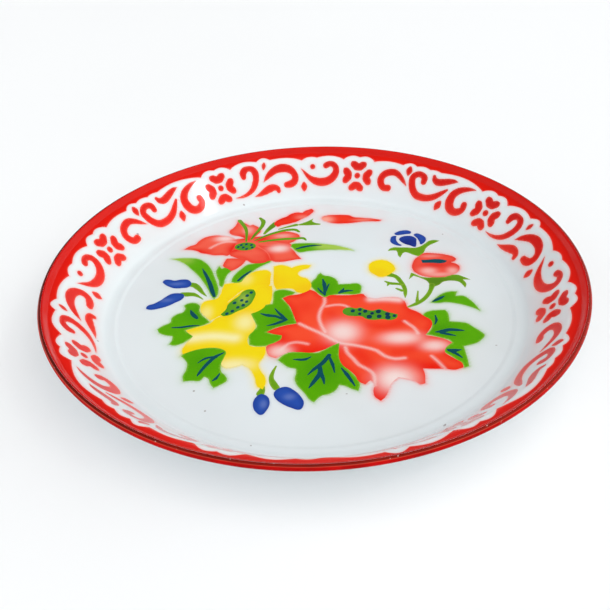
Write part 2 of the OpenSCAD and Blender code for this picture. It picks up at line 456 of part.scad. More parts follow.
veins = [
    [[-93.5, 48, 0.3], [-91, 42, 1.2], [-87.5, 33, 1.5], [-84.5, 24, 1.8], [-82, 15, 1.8],
        [-79.8, 8, 1.2]],
    [[-52, 42, 0.5], [-55, 38.5, 1.1], [-58.5, 34, 1.2], [-62, 28.5, 1]],
    [[-14, 73.5, 0.8], [-8, 76, 1.4], [0, 77.8, 1.2], [8, 77.8, 0.4]],
    [[-96.5, -9.5, 0.4], [-95, -13, 1.5], [-92.5, -17, 1.8], [-90.5, -19.5, 1.2]],
    [[-108, -30, 0.5], [-101, -30, 1], [-95, -29, 1], [-88, -28.5, 0.4]],
    [[-66.5, -61, 0.4], [-72, -65, 1.5], [-77, -72, 1.4], [-82, -82, 1], [-83, -84.5, 0.3]],
    [[-73, -65, 0.8], [-79, -66.5, 1], [-84, -71, 0.3]],
    [[-67.5, -83, 0.4], [-70, -88, 1.2], [-72, -90, 0.3]],
    [[9, -68, 1.5], [4, -76, 1.6], [-2, -82, 1.3], [-6.5, -87.5, 0.3]],
    [[2, -80, 1.5], [2, -86, 1.8], [-1, -92, 1.6], [-4, -97, 1.2], [-6, -100.5, 0.3]],
    [[2.5, -86, 1.5], [4, -92, 1.2], [4.5, -97, 0.4]],
    [[9, -70, 1], [11, -78, 1.2], [12, -86, 0.4]],
    [[17, -82, 0.5], [20, -88, 1.4], [23, -95, 1.1], [25, -100, 0.4]],
    [[-4, -69, 0.3], [-8, -71.5, 1.2], [-13, -71.5, 1], [-16.5, -71, 0.3]],
    [[-31, -11, 0.3], [-28, -16.5, 1], [-25, -21, 1.3], [-23, -25, 1.8], [-21, -26, 0.5]],
    [[-41.5, -17, 0.5], [-36, -19.5, 1.6], [-30, -21, 1.3], [-25.5, -24, 1.2]],
    [[-36.5, -32, 0.3], [-31, -30.5, 1.1], [-26, -28, 1.5], [-21.5, -26, 0.6]],
    [[7.5, 26, 0.5], [8.5, 19, 1.6], [8.8, 12, 1.4], [8.3, 4, 0.8]],
    [[12.5, 19, 0.4], [10, 12, 1], [8.5, 6, 0.6]],
    [[3, 14, 0.3], [5.5, 9, 0.9], [7.8, 5, 0.6]],
    [[20, 6, 1], [22.5, 9, 1.3], [24, 12, 0.4]],
    [[21, 6.5, 0.9], [26, 8.5, 1.3], [31, 8.3, 0.4]],
    [[88, -47, 0.4], [93, -46.5, 1.8], [98, -45, 1.6], [104, -45.5, 1.4], [109, -46.5, 0.4]],
    [[92, -48, 1.3], [97, -50, 1.2], [102, -52, 0.3]],
    [[91, -27.5, 0.5], [91, -33, 1], [89, -38, 0.4]],
    [[93.5, -67, 0.8], [99, -68, 1.6], [103, -67.5, 0.3]],
    [[94, -67.5, 1.2], [99, -72, 1.2], [102, -76, 0.4]],
    [[92, -10, 0.5], [95, -8, 1.3], [99, -5.5, 1.4], [102, -3.5, 0.4]]];

// Rows of the dots: [x, y, radius]
dark_dots = [[34.5, -16.8, 1.4], [29, -18, 1.6], [38.5, -19, 1.6], [43.5, -22, 1.3],
    [48.5, -20, 1.9], [55, -23.5, 1.8], [41, -26, 2], [48.5, -26, 1.8], [55, -27.5, 2],
    [60, -26, 1.3], [34, -22, 1.2], [-63, -2, 1.4], [-60, -8, 1.3], [-56, -5.5, 1.4],
    [-64, -12.5, 1.4], [-68, -15.5, 1.3], [-57.5, 1, 1.3], [-53.5, 7, 1.4], [-50.5, 11, 1.3],
    [-53.5, -1, 1.2], [-63, 83, 1.2], [-58.5, 84, 1.2], [-54, 82.5, 1.2], [-65.5, 80, 1.1],
    [-61, 79, 1.2], [-58, 76.5, 1.1], [-53, 78.5, 1.1]];

module heart_shapes() {
    floor_loops([lily_heart, yellow_heart, peony_heart]);
}

module petal_shapes() {
    floor_loops([lily_left, lily_top, lily_right, lily_low, lily_front, lily_small, lily_base,
        bud_left, bud_right, yellow_top, yellow_back, yellow_side, yellow_front, yellow_base,
        yellow_bud, peony, poppy, blue_top, blue_left, blue_right, blue_heart]);
    floor_loops(blue_buds);
}

module stem_shapes() {
    floor_loops([bud_calyx, poppy_calyx, blue_calyx]);
    floor_strokes(concat(lily_stamens, bud_stems, yellow_bud_stems, poppy_stems,
        blue_bud_stems));
}

module leaf_shapes() {
    floor_loops(concat(blades, lobed_leaves));
}

// ---------------------------------------------------------------- sub-parts

module pressed_sheet() {
    color([0.5, 0.5, 0.52])
        coat(-cover_coat - ground_coat - steel_thickness, -cover_coat - ground_coat, 0, last);
}

module face_ground_coat() {
    color([0.12, 0.08, 0.08])
        coat(-cover_coat - ground_coat, -cover_coat, 0, last);
}

module back_ground_coat() {
    color([0.12, 0.08, 0.08])
        coat(-face_z + cover_coat, -face_z + cover_coat + ground_coat, 0, back_end);
}

module face_white_coat() {
    color([0.88, 0.9, 0.91])
        coat(-cover_coat, 0, 0, crest_a);
}

module back_white_coat() {
    color([0.88, 0.9, 0.91])
        coat(-face_z, -face_z + cover_coat, 0, back_end);
}

module bead_red_coat() {
    color([0.65, 0.05, 0.03])
        coat(-cover_coat, 0, crest_b, last);
}

module rim_band() {
    color([0.85, 0.12, 0.05])
        difference() {
            coat(0, colour_coat, skin_start, crest_a);
            linear_extrude(height = 2 * depth)
                polygon(band_edge);
        }
}

module border_florets() {
    color([0.85, 0.12, 0.05])
        wall_coat()
            round_border()
                for (part = [0, 1])
                    floret(first_floret - 45 * part);
}

module border_scrolls() {
    color([0.85, 0.12, 0.05])
        wall_coat()
            round_border() {
                for (s = [scroll_hook, scroll_arch, scroll_smile])
                    wall_shape(stroke(s, 2), first_floret);
                for (s = [scroll_c, scroll_s, scroll_g])
                    wall_shape(stroke(s, 2), first_floret - 45);
            }
}

module border_leaves() {
    color([0.85, 0.12, 0.05])
        wall_coat()
            round_border() {
                wall_shape(stroke(leaf_comma_in, 2), first_floret);
                wall_shape(stroke(leaf_comma_out, 2), first_floret - 45);
                for (d = diamonds_a)
                    wall_shape(ring(d[0], d[1], d[2], d[3], 16), first_floret);
                for (d = diamonds_b)
                    wall_shape(ring(d[0], d[1], d[2], d[3], 16), first_floret - 45);
                wall_shape(ring(border_dot[0], border_dot[1], border_dot[2], 0, 16),
                    first_floret);
            }
}

module lily_petals() {
    color([0.9, 0.2, 0.15])
        floor_coat(face_z, colour_coat)
            difference() {
                floor_loops([lily_left, lily_top, lily_right, lily_low, lily_front, lily_small,
                    lily_base]);
                floor_loops([lily_heart]);
            }
}

module lily_buds() {
    color([0.9, 0.15, 0.08])
        floor_coat(face_z, colour_coat)
            floor_loops([bud_left, bud_right]);
}

module yellow_petals() {
    color([0.94, 0.82, 0.08])
        floor_coat(face_z, colour_coat)
            difference() {
                floor_loops([yellow_top, yellow_back, yellow_side, yellow_front, yellow_base,
                    yellow_bud]);
                floor_loops([yellow_heart, peony]);
            }
}

module peony_petals() {
    color([0.85, 0.1, 0.06])
        floor_coat(face_z, colour_coat)
            difference() {
                floor_loops([peony]);
                floor_loops([peony_heart]);
                floor_strokes(peony_gaps);
            }
}

module poppy_petals() {
    color([0.85, 0.1, 0.06])
        floor_coat(face_z, colour_coat)
            floor_loops([poppy]);
}

module blue_petals() {
    color([0.16, 0.28, 0.62])
        floor_coat(face_z, colour_coat) {
            floor_loops([blue_top, blue_left, blue_right, blue_heart]);
            floor_loops(blue_buds);
        }
}

module seed_heads() {
    color([0.45, 0.65, 0.1])
        floor_coat(face_z, colour_coat)
            heart_shapes();
}

module stems_and_calyxes() {
    color([0.35, 0.55, 0.1])
        floor_coat(face_z, colour_coat)
            difference() {
                stem_shapes();
                petal_shapes();
                heart_shapes();
            }
}

module leaves() {
    color([0.35, 0.62, 0.08])
        floor_coat(face_z, colour_coat)
            difference() {
                leaf_shapes();
                petal_shapes();
                heart_shapes();
                stem_shapes();
            }
}

module leaf_veins() {
    color([0.08, 0.25, 0.4])
        floor_coat(face_z + colour_coat, stroke_coat)
            floor_strokes(veins);
}

module seed_dots() {
    color([0.1, 0.15, 0.35])
        floor_coat(face_z + colour_coat, stroke_coat) {
            scale(plan_scale)
                for (d = dark_dots)
                    translate([d[0], d[1]])
                        circle(r = d[2]);
            floor_loops([poppy_slit]);
        }
}

pressed_sheet();
face_ground_coat();
back_ground_coat();
face_white_coat();
back_white_coat();
bead_red_coat();
rim_band();
border_florets();
border_scrolls();
border_leaves();
lily_petals();
lily_buds();
yellow_petals();
peony_petals();
poppy_petals();
blue_petals();
seed_heads();
stems_and_calyxes();
leaves();
leaf_veins();
seed_dots();
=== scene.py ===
"""Round enamelled serving tray: pressed dish, rolled rim, red scroll border and flower spray.

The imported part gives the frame. Everything seen is built here in the same place: the glaze of the
dish, the red rim band, the border motifs and each flower of the spray, with procedural finishes.
Lengths in the tables below are millimetres on the tray; meshes are made in metres.
"""

from __future__ import annotations

import logging
import math
from collections.abc import Callable, Sequence
from dataclasses import dataclass, field
from enum import Enum

import bpy
import numpy as np
from mathutils import Euler, Matrix, Vector
from mathutils.geometry import delaunay_2d_cdt
from mathutils.kdtree import KDTree

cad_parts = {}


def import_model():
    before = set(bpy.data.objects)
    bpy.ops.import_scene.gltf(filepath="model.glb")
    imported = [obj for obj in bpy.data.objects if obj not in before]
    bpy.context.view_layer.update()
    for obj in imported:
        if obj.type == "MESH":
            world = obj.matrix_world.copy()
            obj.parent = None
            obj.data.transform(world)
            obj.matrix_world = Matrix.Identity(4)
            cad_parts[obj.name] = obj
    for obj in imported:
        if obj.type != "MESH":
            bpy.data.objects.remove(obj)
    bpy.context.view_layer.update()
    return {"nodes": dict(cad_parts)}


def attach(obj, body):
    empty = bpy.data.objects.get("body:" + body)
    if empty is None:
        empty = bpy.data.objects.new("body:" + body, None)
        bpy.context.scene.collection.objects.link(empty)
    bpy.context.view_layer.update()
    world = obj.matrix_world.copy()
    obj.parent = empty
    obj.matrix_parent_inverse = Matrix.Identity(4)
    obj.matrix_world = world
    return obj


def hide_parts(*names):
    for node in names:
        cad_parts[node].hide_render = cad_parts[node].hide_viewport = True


log = logging.getLogger("tray")

MM = 0.001
ROOT = "root"
Point = tuple[float, ...]
Outline = list[Point]
Array = np.ndarray
Rgb = tuple[int, int, int]


# ------------------------------------------------------------------------------ outlines
# Border outlines are developed: u clockwise along the wall, v up it, half width last.
# Flower outlines are x, y on the floor; strokes add the half width.

SCROLL_HOOK: Outline = [(25.3, 5.5, 2.65), (25.6, 9, 3.45), (28.2, 12, 3.25), (31.5, 12.8, 2.65),
    (35.5, 11.3, 3.05), (37.4, 7.5, 3.35), (37, 2, 3.05), (34.8, -3, 3.15), (31, -7.8, 2.65),
    (25.5, -11, 1.95), (18.5, -12.6, 1.25), (12, -12.4, 0.2)]
SCROLL_ARCH: Outline = [(44, -2.5, 0.2), (47.5, 0.9, 2.05), (51.5, 4.2, 3.05), (57.5, 7.6, 3.75),
    (64, 8.8, 4.25), (70.5, 7.3, 3.95), (75, 3.2, 3.25), (76.4, -1.3, 3.35), (74.8, -5.5, 3.65),
    (70.5, -7.6, 3.65), (67, -7.9, 3.05)]
SCROLL_SMILE: Outline = [(82.8, 6.8, 0.2), (86.3, 2.6, 1.35), (89.5, -1.2, 2.15),
    (96, -5.6, 3.65), (103, -7, 4.15), (110, -5.4, 4.05), (115.5, -0.6, 3.75), (117.2, 5, 3.15),
    (115.2, 9.4, 2.85), (110.8, 10.9, 2.85), (107.2, 9.2, 3.05)]
SCROLL_C: Outline = [(50.4, -1.9, 0.4), (46.5, 1.6, 1.85), (42, 5.3, 2.55), (36.5, 8, 3.15),
    (31, 7.4, 3.45), (26.3, 4.6, 3.45), (24, 0, 3.45), (24.8, -4.2, 3.45), (28.5, -7.8, 3.25),
    (33, -7.6, 3.35)]
SCROLL_S: Outline = [(66.3, 5.2, 2.85), (65.8, 9, 3.15), (62, 11.2, 2.85), (57.8, 10.6, 3.05),
    (54.7, 7, 3.15), (55.3, 2.2, 3.35), (58, -3.6, 3.45), (63.5, -8.2, 3.55), (69, -9, 3.45),
    (75, -8.2, 3.25), (81.5, -5.2, 3.15), (87, -0.3, 2.45), (91.3, 4.4, 1.25)]
SCROLL_G: Outline = [(117.6, 14, 0.4), (112, 12.5, 1.85), (106.5, 10, 2.75), (102, 6.6, 3.45),
    (99.1, 1.8, 3.95), (99, -4, 4.45), (101.2, -8.6, 4.35), (106.5, -11.2, 3.65),
    (112, -9.8, 3.55), (115, -6, 3.15), (114.3, -2, 3.15)]
LEAF_COMMA_IN: Outline = [(32, -15, 0.2), (38, -13.8, 2.05), (44, -11.6, 3.35),
    (49.5, -9.6, 3.85), (54, -9.2, 3.15), (57.2, -11, 2.75), (57.8, -13, 2.25)]
LEAF_COMMA_OUT: Outline = [(74.4, 12.8, 1.65), (75.8, 10.3, 2.65), (79, 8.8, 3.35),
    (84, 9.8, 3.45), (90, 12.4, 2.95), (95, 14.2, 1.95), (98, 14.6, 0.3)]
PETAL_HALF: Outline = [(12.7, 0), (14.5, 3.6), (13.8, 7), (10.6, 7.7), (7.6, 5.4), (5.8, 3.2),
    (5.3, 0)]
LILY_LEFT: Outline = [(-113, 79.5), (-109, 84), (-104, 87), (-101.5, 92), (-98, 97), (-91, 100.5),
    (-86, 101), (-80, 99.5), (-73, 96.5), (-69, 92), (-68, 87), (-69, 81), (-70.5, 75), (-72, 69),
    (-74, 66.5), (-78, 68), (-86, 68.5), (-92, 71), (-97, 72.5), (-101, 76), (-107, 78.5)]
LILY_TOP: Outline = [(-68.5, 126), (-69.5, 120), (-72, 113), (-75, 108), (-74.5, 104), (-71,
    100.5), (-66, 98.5), (-61, 95), (-58, 91), (-55, 91), (-52, 95), (-48.5, 101), (-46.5, 105),
    (-47.5, 110), (-50, 114), (-54, 117.5), (-57, 116), (-60, 119), (-64, 123)]
LILY_RIGHT: Outline = [(-52, 89), (-46, 93), (-40, 98), (-33, 101.5), (-25, 103.5), (-17, 101),
    (-12, 97), (-11, 93.5), (-14.5, 88), (-18, 84.5), (-22, 83), (-28, 84.5), (-36, 87), (-45,
    87.5)]
LILY_LOW: Outline = [(-48, 82), (-40, 80), (-30, 81), (-22, 80), (-19.5, 76), (-16, 70), (-13.5,
    64), (-10, 57.5), (-15, 56.5), (-21, 55), (-28, 54), (-34, 55.5), (-36, 60), (-37.5, 66),
    (-41, 73), (-45.5, 78)]
LILY_FRONT: Outline = [(-50, 79), (-45, 75.5), (-40.5, 70), (-38, 63), (-37.5, 58), (-40, 54.5),
    (-46, 53), (-52, 54), (-56, 58), (-60, 62), (-66, 64), (-71, 66), (-71.5, 72), (-66, 76),
    (-58, 76)]
LILY_SMALL: Outline = [(-76, 50), (-75.5, 57), (-74, 62), (-68, 62), (-62, 60.5), (-57.5, 58),
    (-59, 54), (-62, 49), (-66, 45), (-69, 43), (-72, 46.5)]
LILY_BASE: Outline = [(-80, 92), (-72, 68), (-46, 56), (-30, 58), (-18, 80), (-30, 98), (-50, 96),
    (-62, 94)]
LILY_HEART: Outline = [(-68, 82), (-64, 86), (-57, 87), (-51, 84), (-50, 79), (-53, 75.5), (-58,
    74), (-64, 75), (-68, 78)]
LILY_STAMENS: list[Outline] = [[(-67, 126, 2), (-63.5, 119, 1.8), (-60, 109, 1.6), (-59, 100,
    1.2), (-58.8, 89, 0.8)], [(-48, 129.5, 1.2), (-45, 124, 2.2), (-45.2, 116, 1.8), (-48, 108,
    1.6), (-51.5, 100, 1.3), (-54.5, 92, 0.8)], [(-11.5, 102, 1), (-14.5, 105.5, 1.8), (-22, 106,
    1.8), (-32, 102.5, 1.7), (-41, 97.5, 1.4), (-51, 90, 0.7)], [(-5.5, 87.5, 0.8), (-7.5, 90.5,
    1.6), (-14, 90.5, 1.6), (-25, 90.5, 1.8), (-37, 89, 1.5), (-47, 87, 0.9)]]
BUD_LEFT: Outline = [(-34.5, 117), (-33, 122), (-29, 126.5), (-23, 130.5), (-19, 135), (-13,
    137.5), (-8, 136.5), (-6, 139.5), (-2, 142), (0.5, 143.5), (2.5, 140), (0, 134), (-4, 129),
    (-9, 125), (-13, 121), (-20, 117.5), (-27, 115), (-31, 112.5)]
BUD_RIGHT: Outline = [(10, 124), (11, 127.5), (15, 129.5), (22, 130), (30, 129.5), (36, 128), (39,
    125), (46, 123), (53, 121.5), (60, 119.5), (65, 117.5), (63, 116), (55, 116), (47, 116), (38,
    114.5), (28, 114), (19, 115.5), (14, 119), (11, 121.5)]
BUD_CALYX: Outline = [(-12, 113.5), (-4, 113), (8, 113), (8.5, 115), (3, 117.5), (1, 120), (2,
    125), (-2, 121.5), (-7, 118), (-12, 115.5)]
BUD_STEMS: list[Outline] = [[(-43, 101, 1.2), (-39.5, 108, 2.2), (-36, 114, 3), (-34, 119, 2)],
    [(-30, 108, 0.8), (-22, 111.5, 1.3), (-14, 114.5, 2)]]
YELLOW_TOP: Outline = [(-33, 47), (-28, 49), (-22, 47), (-18, 44), (-14, 46.5), (-8, 48), (-2,
    47), (-4, 43), (-10, 40), (-13, 35), (-11, 31), (-6, 28), (-3.5, 24), (-2, 19), (-3, 13), (-7,
    7.5), (-13, 9), (-17, 14), (-24, 15), (-30, 14), (-32, 19), (-33, 28), (-33, 38)]
YELLOW_BACK: Outline = [(-73, 24), (-68, 25), (-60, 26), (-56, 33), (-50, 40), (-44, 42), (-39,
    42), (-36, 39), (-35.5, 30), (-35.5, 21), (-40, 21.5), (-46, 21), (-48, 18), (-52, 16), (-57,
    15), (-60, 12), (-64, 6), (-68, 0), (-68.5, -7), (-70, -13), (-73, -17), (-76, -20), (-80,
    -23), (-84, -18), (-88, -12), (-89, -5), (-87, 1), (-82, 3), (-78, 4), (-75, 10), (-74, 18)]
YELLOW_SIDE: Outline = [(-46, 16), (-40, 19.5), (-34, 19), (-33.5, 12), (-34, 0), (-35, -5), (-40,
    -6), (-46, -5), (-47.5, 0), (-47, 8)]
YELLOW_FRONT: Outline = [(-97, -34), (-90, -31), (-84, -29), (-79, -26), (-76, -21), (-73, -19),
    (-66, -19.5), (-60, -16.5), (-54, -12), (-50.5, -12), (-49.5, -16), (-47, -24), (-45, -31),
    (-46, -37), (-49.5, -43), (-50, -50), (-48.5, -54), (-42, -56), (-37, -56), (-36.5, -62),
    (-38, -68), (-41, -74), (-39, -82), (-36, -88), (-35.5, -95), (-37, -100), (-40, -98), (-43,
    -88), (-47, -79), (-52, -74), (-58, -76), (-63, -77), (-67, -74), (-66, -67), (-65, -60),
    (-70, -56), (-79, -55), (-88, -57), (-96, -61), (-97, -57), (-95, -50), (-92, -44), (-91,
    -41), (-95, -37)]
YELLOW_BASE: Outline = [(-77, -17), (-66, 2), (-56, 16), (-50, 24), (-36, 24), (-37, 4), (-40, -10),
    (-50, -17), (-62, -20)]
YELLOW_HEART: Outline = [(-72.5, -16), (-69, -10), (-68, -4), (-65, 1), (-60, 7), (-57, 13), (-53,
    15.5), (-48.5, 15), (-46.8, 10), (-48, 2), (-50, -4), (-54, -9), (-60, -13), (-66, -17.5),
    (-71, -18)]
YELLOW_BUD: Outline = [(46.5, 40), (48, 46), (53, 50), (58, 51), (64, 48), (67.5, 42), (68, 36),
    (64.5, 31), (59.5, 27), (55, 26), (50.5, 29.5), (47, 34.5)]
YELLOW_BUD_STEMS: list[Outline] = [[(62, 29, 3), (67, 26, 2.2), (70.5, 18, 2), (72.5, 8, 1.8),
    (72, 1, 1.4), (71.3, -3.5, 0.3)], [(58, 19.5, 0.8), (62, 16.5, 1.8), (67, 15.5, 1.6), (71, 14,
    1.2)], [(59, 13, 0.3), (60.5, 16, 1.4)], [(66, 9, 1), (70, 6, 1.5)]]
PEONY: Outline = [(-25, 2), (-20, 5), (-13, 6), (-7, 9), (-3, 12), (1, 9), (5, 3), (8, 1), (13,
    3.5), (19, 3), (26, 2.5), (33, 3), (38, 3.5), (42, -2), (46, -4), (56, -3), (66, -4), (70,
    -8), (72, -17), (78, -22), (83, -28), (87, -33), (87, -38), (84, -44), (80, -50), (86, -52),
    (93, -55), (98, -59.5), (93, -64), (91, -69), (96, -76), (101, -82), (101, -86), (94, -88),
    (89, -87), (85, -86.5), (78, -86), (73, -85.5), (73.5, -90), (72.5, -100), (70, -101), (65,
    -97), (55, -93), (49, -100), (47, -106), (44, -112), (41, -115), (37.5, -111), (37, -105),
    (38.5, -98), (36, -95), (32, -99), (28, -96), (26, -90), (22, -84), (18, -79), (16, -72), (16,
    -64), (17, -55), (12, -57.5), (5, -62), (-3, -64.5), (-12, -63.5), (-20, -63), (-25, -66),
    (-29, -69), (-33, -67), (-36, -60), (-36, -56), (-30, -52), (-25.5, -48), (-25, -44), (-30,
    -42.5), (-36.5, -39.5), (-30, -35.5), (-20, -32), (-14, -31), (-15, -26), (-17, -18), (-19,
    -10), (-22, -4)]
PEONY_HEART: Outline = [(21.5, -17), (24, -14), (28, -13.5), (32, -15), (35, -14), (39, -16.5),
    (44, -18.5), (50, -17), (54, -20), (59, -22.5), (63, -24.5), (62, -28), (57, -31), (51,
    -29.5), (44, -30), (38, -28), (36, -25.5), (30, -24.5), (24, -23), (21.5, -20)]
POPPY: Outline = [(90, 54), (95, 58.5), (104, 58), (113, 55.5), (119, 52), (121, 48.5), (119, 45),
    (115.5, 43.5), (119, 41.5), (121.5, 38), (121, 33), (118, 28.5), (113, 25), (106, 22.5), (98,
    22.5), (91, 24.5), (86, 28), (83, 33), (82.5, 39), (84.5, 46), (87, 51)]
POPPY_SLIT: Outline = [(91.5, 48.5), (97, 48.5), (104, 49), (109, 48), (113, 46), (111, 43.5),
    (107, 42.5), (100, 43.5), (92, 44)]
POPPY_CALYX: Outline = [(77.5, 21), (79, 26), (80.5, 30.5), (83, 28.5), (88, 24), (93, 22.5),
    (100, 23), (107, 22.5), (113, 25), (118, 25), (122, 22), (127, 17.5), (121, 18), (122.5, 12),
    (120.5, 6.5), (119.5, 10), (117, 15), (111, 17), (105, 16), (100, 11.5), (95, 9), (93.5, 12),
    (91.5, 18), (87, 22.5), (82, 26)]
POPPY_STEMS: list[Outline] = [[(72, -15.5, 0.8), (78, -12.5, 1.8), (84.5, -7.5, 1.8), (89.5, -1,
    1.8), (93, 6, 1.8), (95, 12, 2.5)], [(80, -9, 1.5), (81, -3, 0.9), (82.5, 4.5, 0.6)]]
BLUE_TOP: Outline = [(74, 92), (77, 95.5), (82, 97.5), (87, 97), (89, 95), (88.5, 92), (84, 91),
    (79, 90), (75.5, 90)]
BLUE_LEFT: Outline = [(75, 88.5), (71.5, 88), (69.5, 84), (69, 80), (70.5, 76), (74, 73), (76.5,
    72), (78, 72.5), (76, 75.5), (74.5, 80), (74.5, 85)]
BLUE_RIGHT: Outline = [(91.5, 90.5), (94, 91.5), (98, 88.5), (100.5, 84), (100, 79), (97.5, 75),
    (94.8, 73), (94.3, 77), (93.3, 83)]
BLUE_HEART: Outline = [(77, 83), (79, 86), (84, 88), (89, 87), (92, 83), (91.5, 77), (90.5, 71.5),
    (89.5, 69.5), (85.5, 72), (81, 75), (78, 79)]
BLUE_CALYX: Outline = [(65, 64.5), (67, 68), (71, 70), (76, 69.5), (82, 69), (89, 68), (94, 70),
    (99, 74.5), (103, 78.5), (108, 79.5), (112, 78), (108, 75), (102, 71), (98, 66), (96, 61),
    (93, 57), (90, 54.5), (86, 57), (82, 60.5), (80, 61.5), (78, 60.5), (76, 57), (74.5, 53.5),
    (73, 57), (73, 61), (72.5, 64.5), (69, 65)]
BLUE_BUDS: list[Outline] = [[(-124.5, 31), (-123, 33.5), (-119, 33.5), (-115, 32), (-110, 33),
    (-104, 32.5), (-101, 29), (-100.3, 25), (-102, 22), (-107, 21), (-113, 21), (-118, 23.5),
    (-122.5, 27.5)], [(-104, 10), (-106, 13), (-110, 14), (-114.5, 13.5), (-118, 10.5), (-122,
    5.5), (-127, 1), (-131.5, -1.5), (-132, -5), (-129, -6.5), (-122, -5.5), (-116, -3), (-110,
    1.5), (-105, 6)], [(-38, -104.5), (-34, -106.5), (-32, -112), (-33.5, -119), (-37.5, -123.5),
    (-41, -120.5), (-43, -114.5), (-41.5, -107.5)], [(-29.5, -104), (-26, -99.5), (-21, -98.5),
    (-16, -102), (-11.5, -108), (-9.5, -115), (-12, -120), (-18, -118), (-24, -114), (-28,
    -109.5)]]
BLUE_BUD_STEMS: list[Outline] = [[(-37, -98, 1.4), (-37.5, -101, 2.2), (-38.5, -104, 2.8)],
    [(-28.5, -77.5, 0.6), (-30.5, -83, 1.2), (-31.5, -90, 1.8), (-30, -95, 2.5), (-28, -99, 2.5)],
    [(-102, 26, 2.6), (-98, 24.5, 3), (-93.5, 19.5, 2.4), (-89.5, 13, 1.4), (-86, 8.5, 0.4)],
    [(-106, 13, 2), (-102, 12, 3), (-97, 11.5, 2.4), (-92.5, 8.5, 1.2), (-88.5, 4.5, 0.4)]]
BLADES: list[Outline] = [[(-122, 65), (-110, 65.5), (-98, 63), (-91, 56), (-86, 47), (-82, 35),
    (-79, 25), (-77, 15), (-77.5, 9), (-79.5, 4), (-82, 8), (-85.5, 17), (-90, 27), (-96, 38),
    (-103, 48), (-110, 57), (-117, 62.5)], [(-79.5, 51), (-77, 47), (-74, 48.5), (-70, 48),
    (-68.5, 44), (-71.5, 38), (-73, 31), (-73.5, 24), (-74.5, 20), (-76.5, 22), (-78, 29), (-80.5,
    37), (-81.5, 44)], [(-36, 57), (-36, 55), (-40, 51.5), (-46, 46.5), (-50, 42), (-55, 36),
    (-58, 30), (-60, 26), (-64, 25.5), (-67.5, 27), (-67, 33), (-64, 40), (-60, 46), (-55.5,
    51.5), (-50, 53), (-45, 55), (-40, 59)], [(-20, 79), (-17, 82), (-10, 82.5), (0, 82), (10,
    80), (20, 77), (30, 72), (36, 67.5), (28, 69), (18, 70), (8, 70), (-4, 69), (-12, 68), (-15.5,
    72), (-17.5, 76)]]
LOBED_LEAVES: list[Outline] = [[(-102.5, -3), (-100, -0.5), (-93, -0.5), (-90, -4), (-89.5, -10),
    (-87, -16), (-83, -21), (-80, -25), (-84, -28), (-90, -30.5), (-97.5, -33.5), (-96, -36),
    (-92, -39), (-91, -41.5), (-94, -45), (-99, -49.5), (-104, -51), (-107.5, -49.5), (-106, -44),
    (-106.5, -40), (-111, -39), (-117, -35.5), (-119, -31.5), (-115, -27), (-110.5, -24), (-110,
    -18), (-107, -14), (-102, -11), (-101, -7)], [(-97, -63), (-95, -60), (-88, -56.5), (-79,
    -55), (-70, -56), (-65, -59), (-64.5, -62), (-66, -68), (-67.5, -75), (-66.5, -81), (-63.5,
    -85), (-62, -90), (-66, -94), (-70.5, -97), (-73, -93), (-75.5, -87), (-78, -85.5), (-81,
    -89.5), (-86, -89), (-92, -89.5), (-93, -84), (-91.5, -78), (-92, -70), (-94.5, -66)],
    [(-27.5, -71), (-24, -66.5), (-19, -63.5), (-12, -63.5), (-5, -64), (0, -65), (5, -62.5), (12,
    -57.5), (16.5, -55), (17, -60), (16, -68), (17, -75), (19, -80), (22, -84), (25, -89), (27.5,
    -94), (28.5, -99), (27, -105), (23, -103), (18, -99.5), (14.5, -98.5), (13, -102), (9, -106),
    (2, -108.5), (-3, -114), (-6, -111), (-8, -107), (-10, -103.5), (-14, -97), (-15.5, -91),
    (-14.5, -85), (-14.5, -81), (-20, -79), (-24, -75)], [(-31.5, 11.5), (-27, 13.5), (-20, 12),
    (-15, 9), (-17, 6.5), (-22, 4.5), (-25.5, 1.5), (-24, -1), (-21, -6), (-18.5, -13), (-16.5,
    -20), (-15, -27), (-13.5, -30.5), (-19, -31.5), (-25, -33), (-31, -35.5), (-36.5, -39.5),
    (-33, -41.5), (-28, -42.5), (-25, -44), (-25.5, -48), (-30, -52), (-36, -55), (-42, -55.5),
    (-48.5, -53.5), (-49, -48), (-49.5, -43), (-47, -38), (-44, -33), (-45.5, -27), (-48, -20),
    (-49.5, -14), (-48, -10.5), (-43, -7.5), (-36, -5.5), (-33, -5), (-32.5, 0), (-32.5, 6)], [(6,
    35), (8, 32), (13, 30), (17, 27), (19.5, 22), (20, 18), (28, 18), (36.5, 17.5), (38, 15), (38,
    10), (36.5, 4.5), (32, 3.5), (26, 4), (19, 4.5), (8, 1), (4, 5.5), (0, 12), (-2.5, 18), (-1.5,
    23), (2, 28), (4, 33)], [(81, -49), (85, -44), (87, -38), (86.5, -33), (83, -29.5), (82, -26),
    (84, -23.5), (88, -21.5), (94, -21), (99.5, -21), (101, -24), (101, -30), (100.5, -35), (106,
    -36), (113, -38), (117, -43), (121, -48), (123, -52), (120, -57), (115, -61), (109, -63),
    (105.5, -64), (105.5, -70), (105.5, -78), (105, -85), (101.5, -86.5), (101, -82), (98, -78),
    (94, -73), (91, -69), (91.5, -66), (95, -62), (98, -59.5), (97, -57), (92, -54), (86, -51)],
    [(90, -11), (94, -6.5), (99, -1.5), (104, 1.5), (109, 2.5), (113, 2), (112, -1), (111, -3.5),
    (117, -4), (121, -9), (124, -16), (126, -24), (123, -21), (118, -17.5), (110, -13.5), (102,
    -11.5), (95, -12)]]
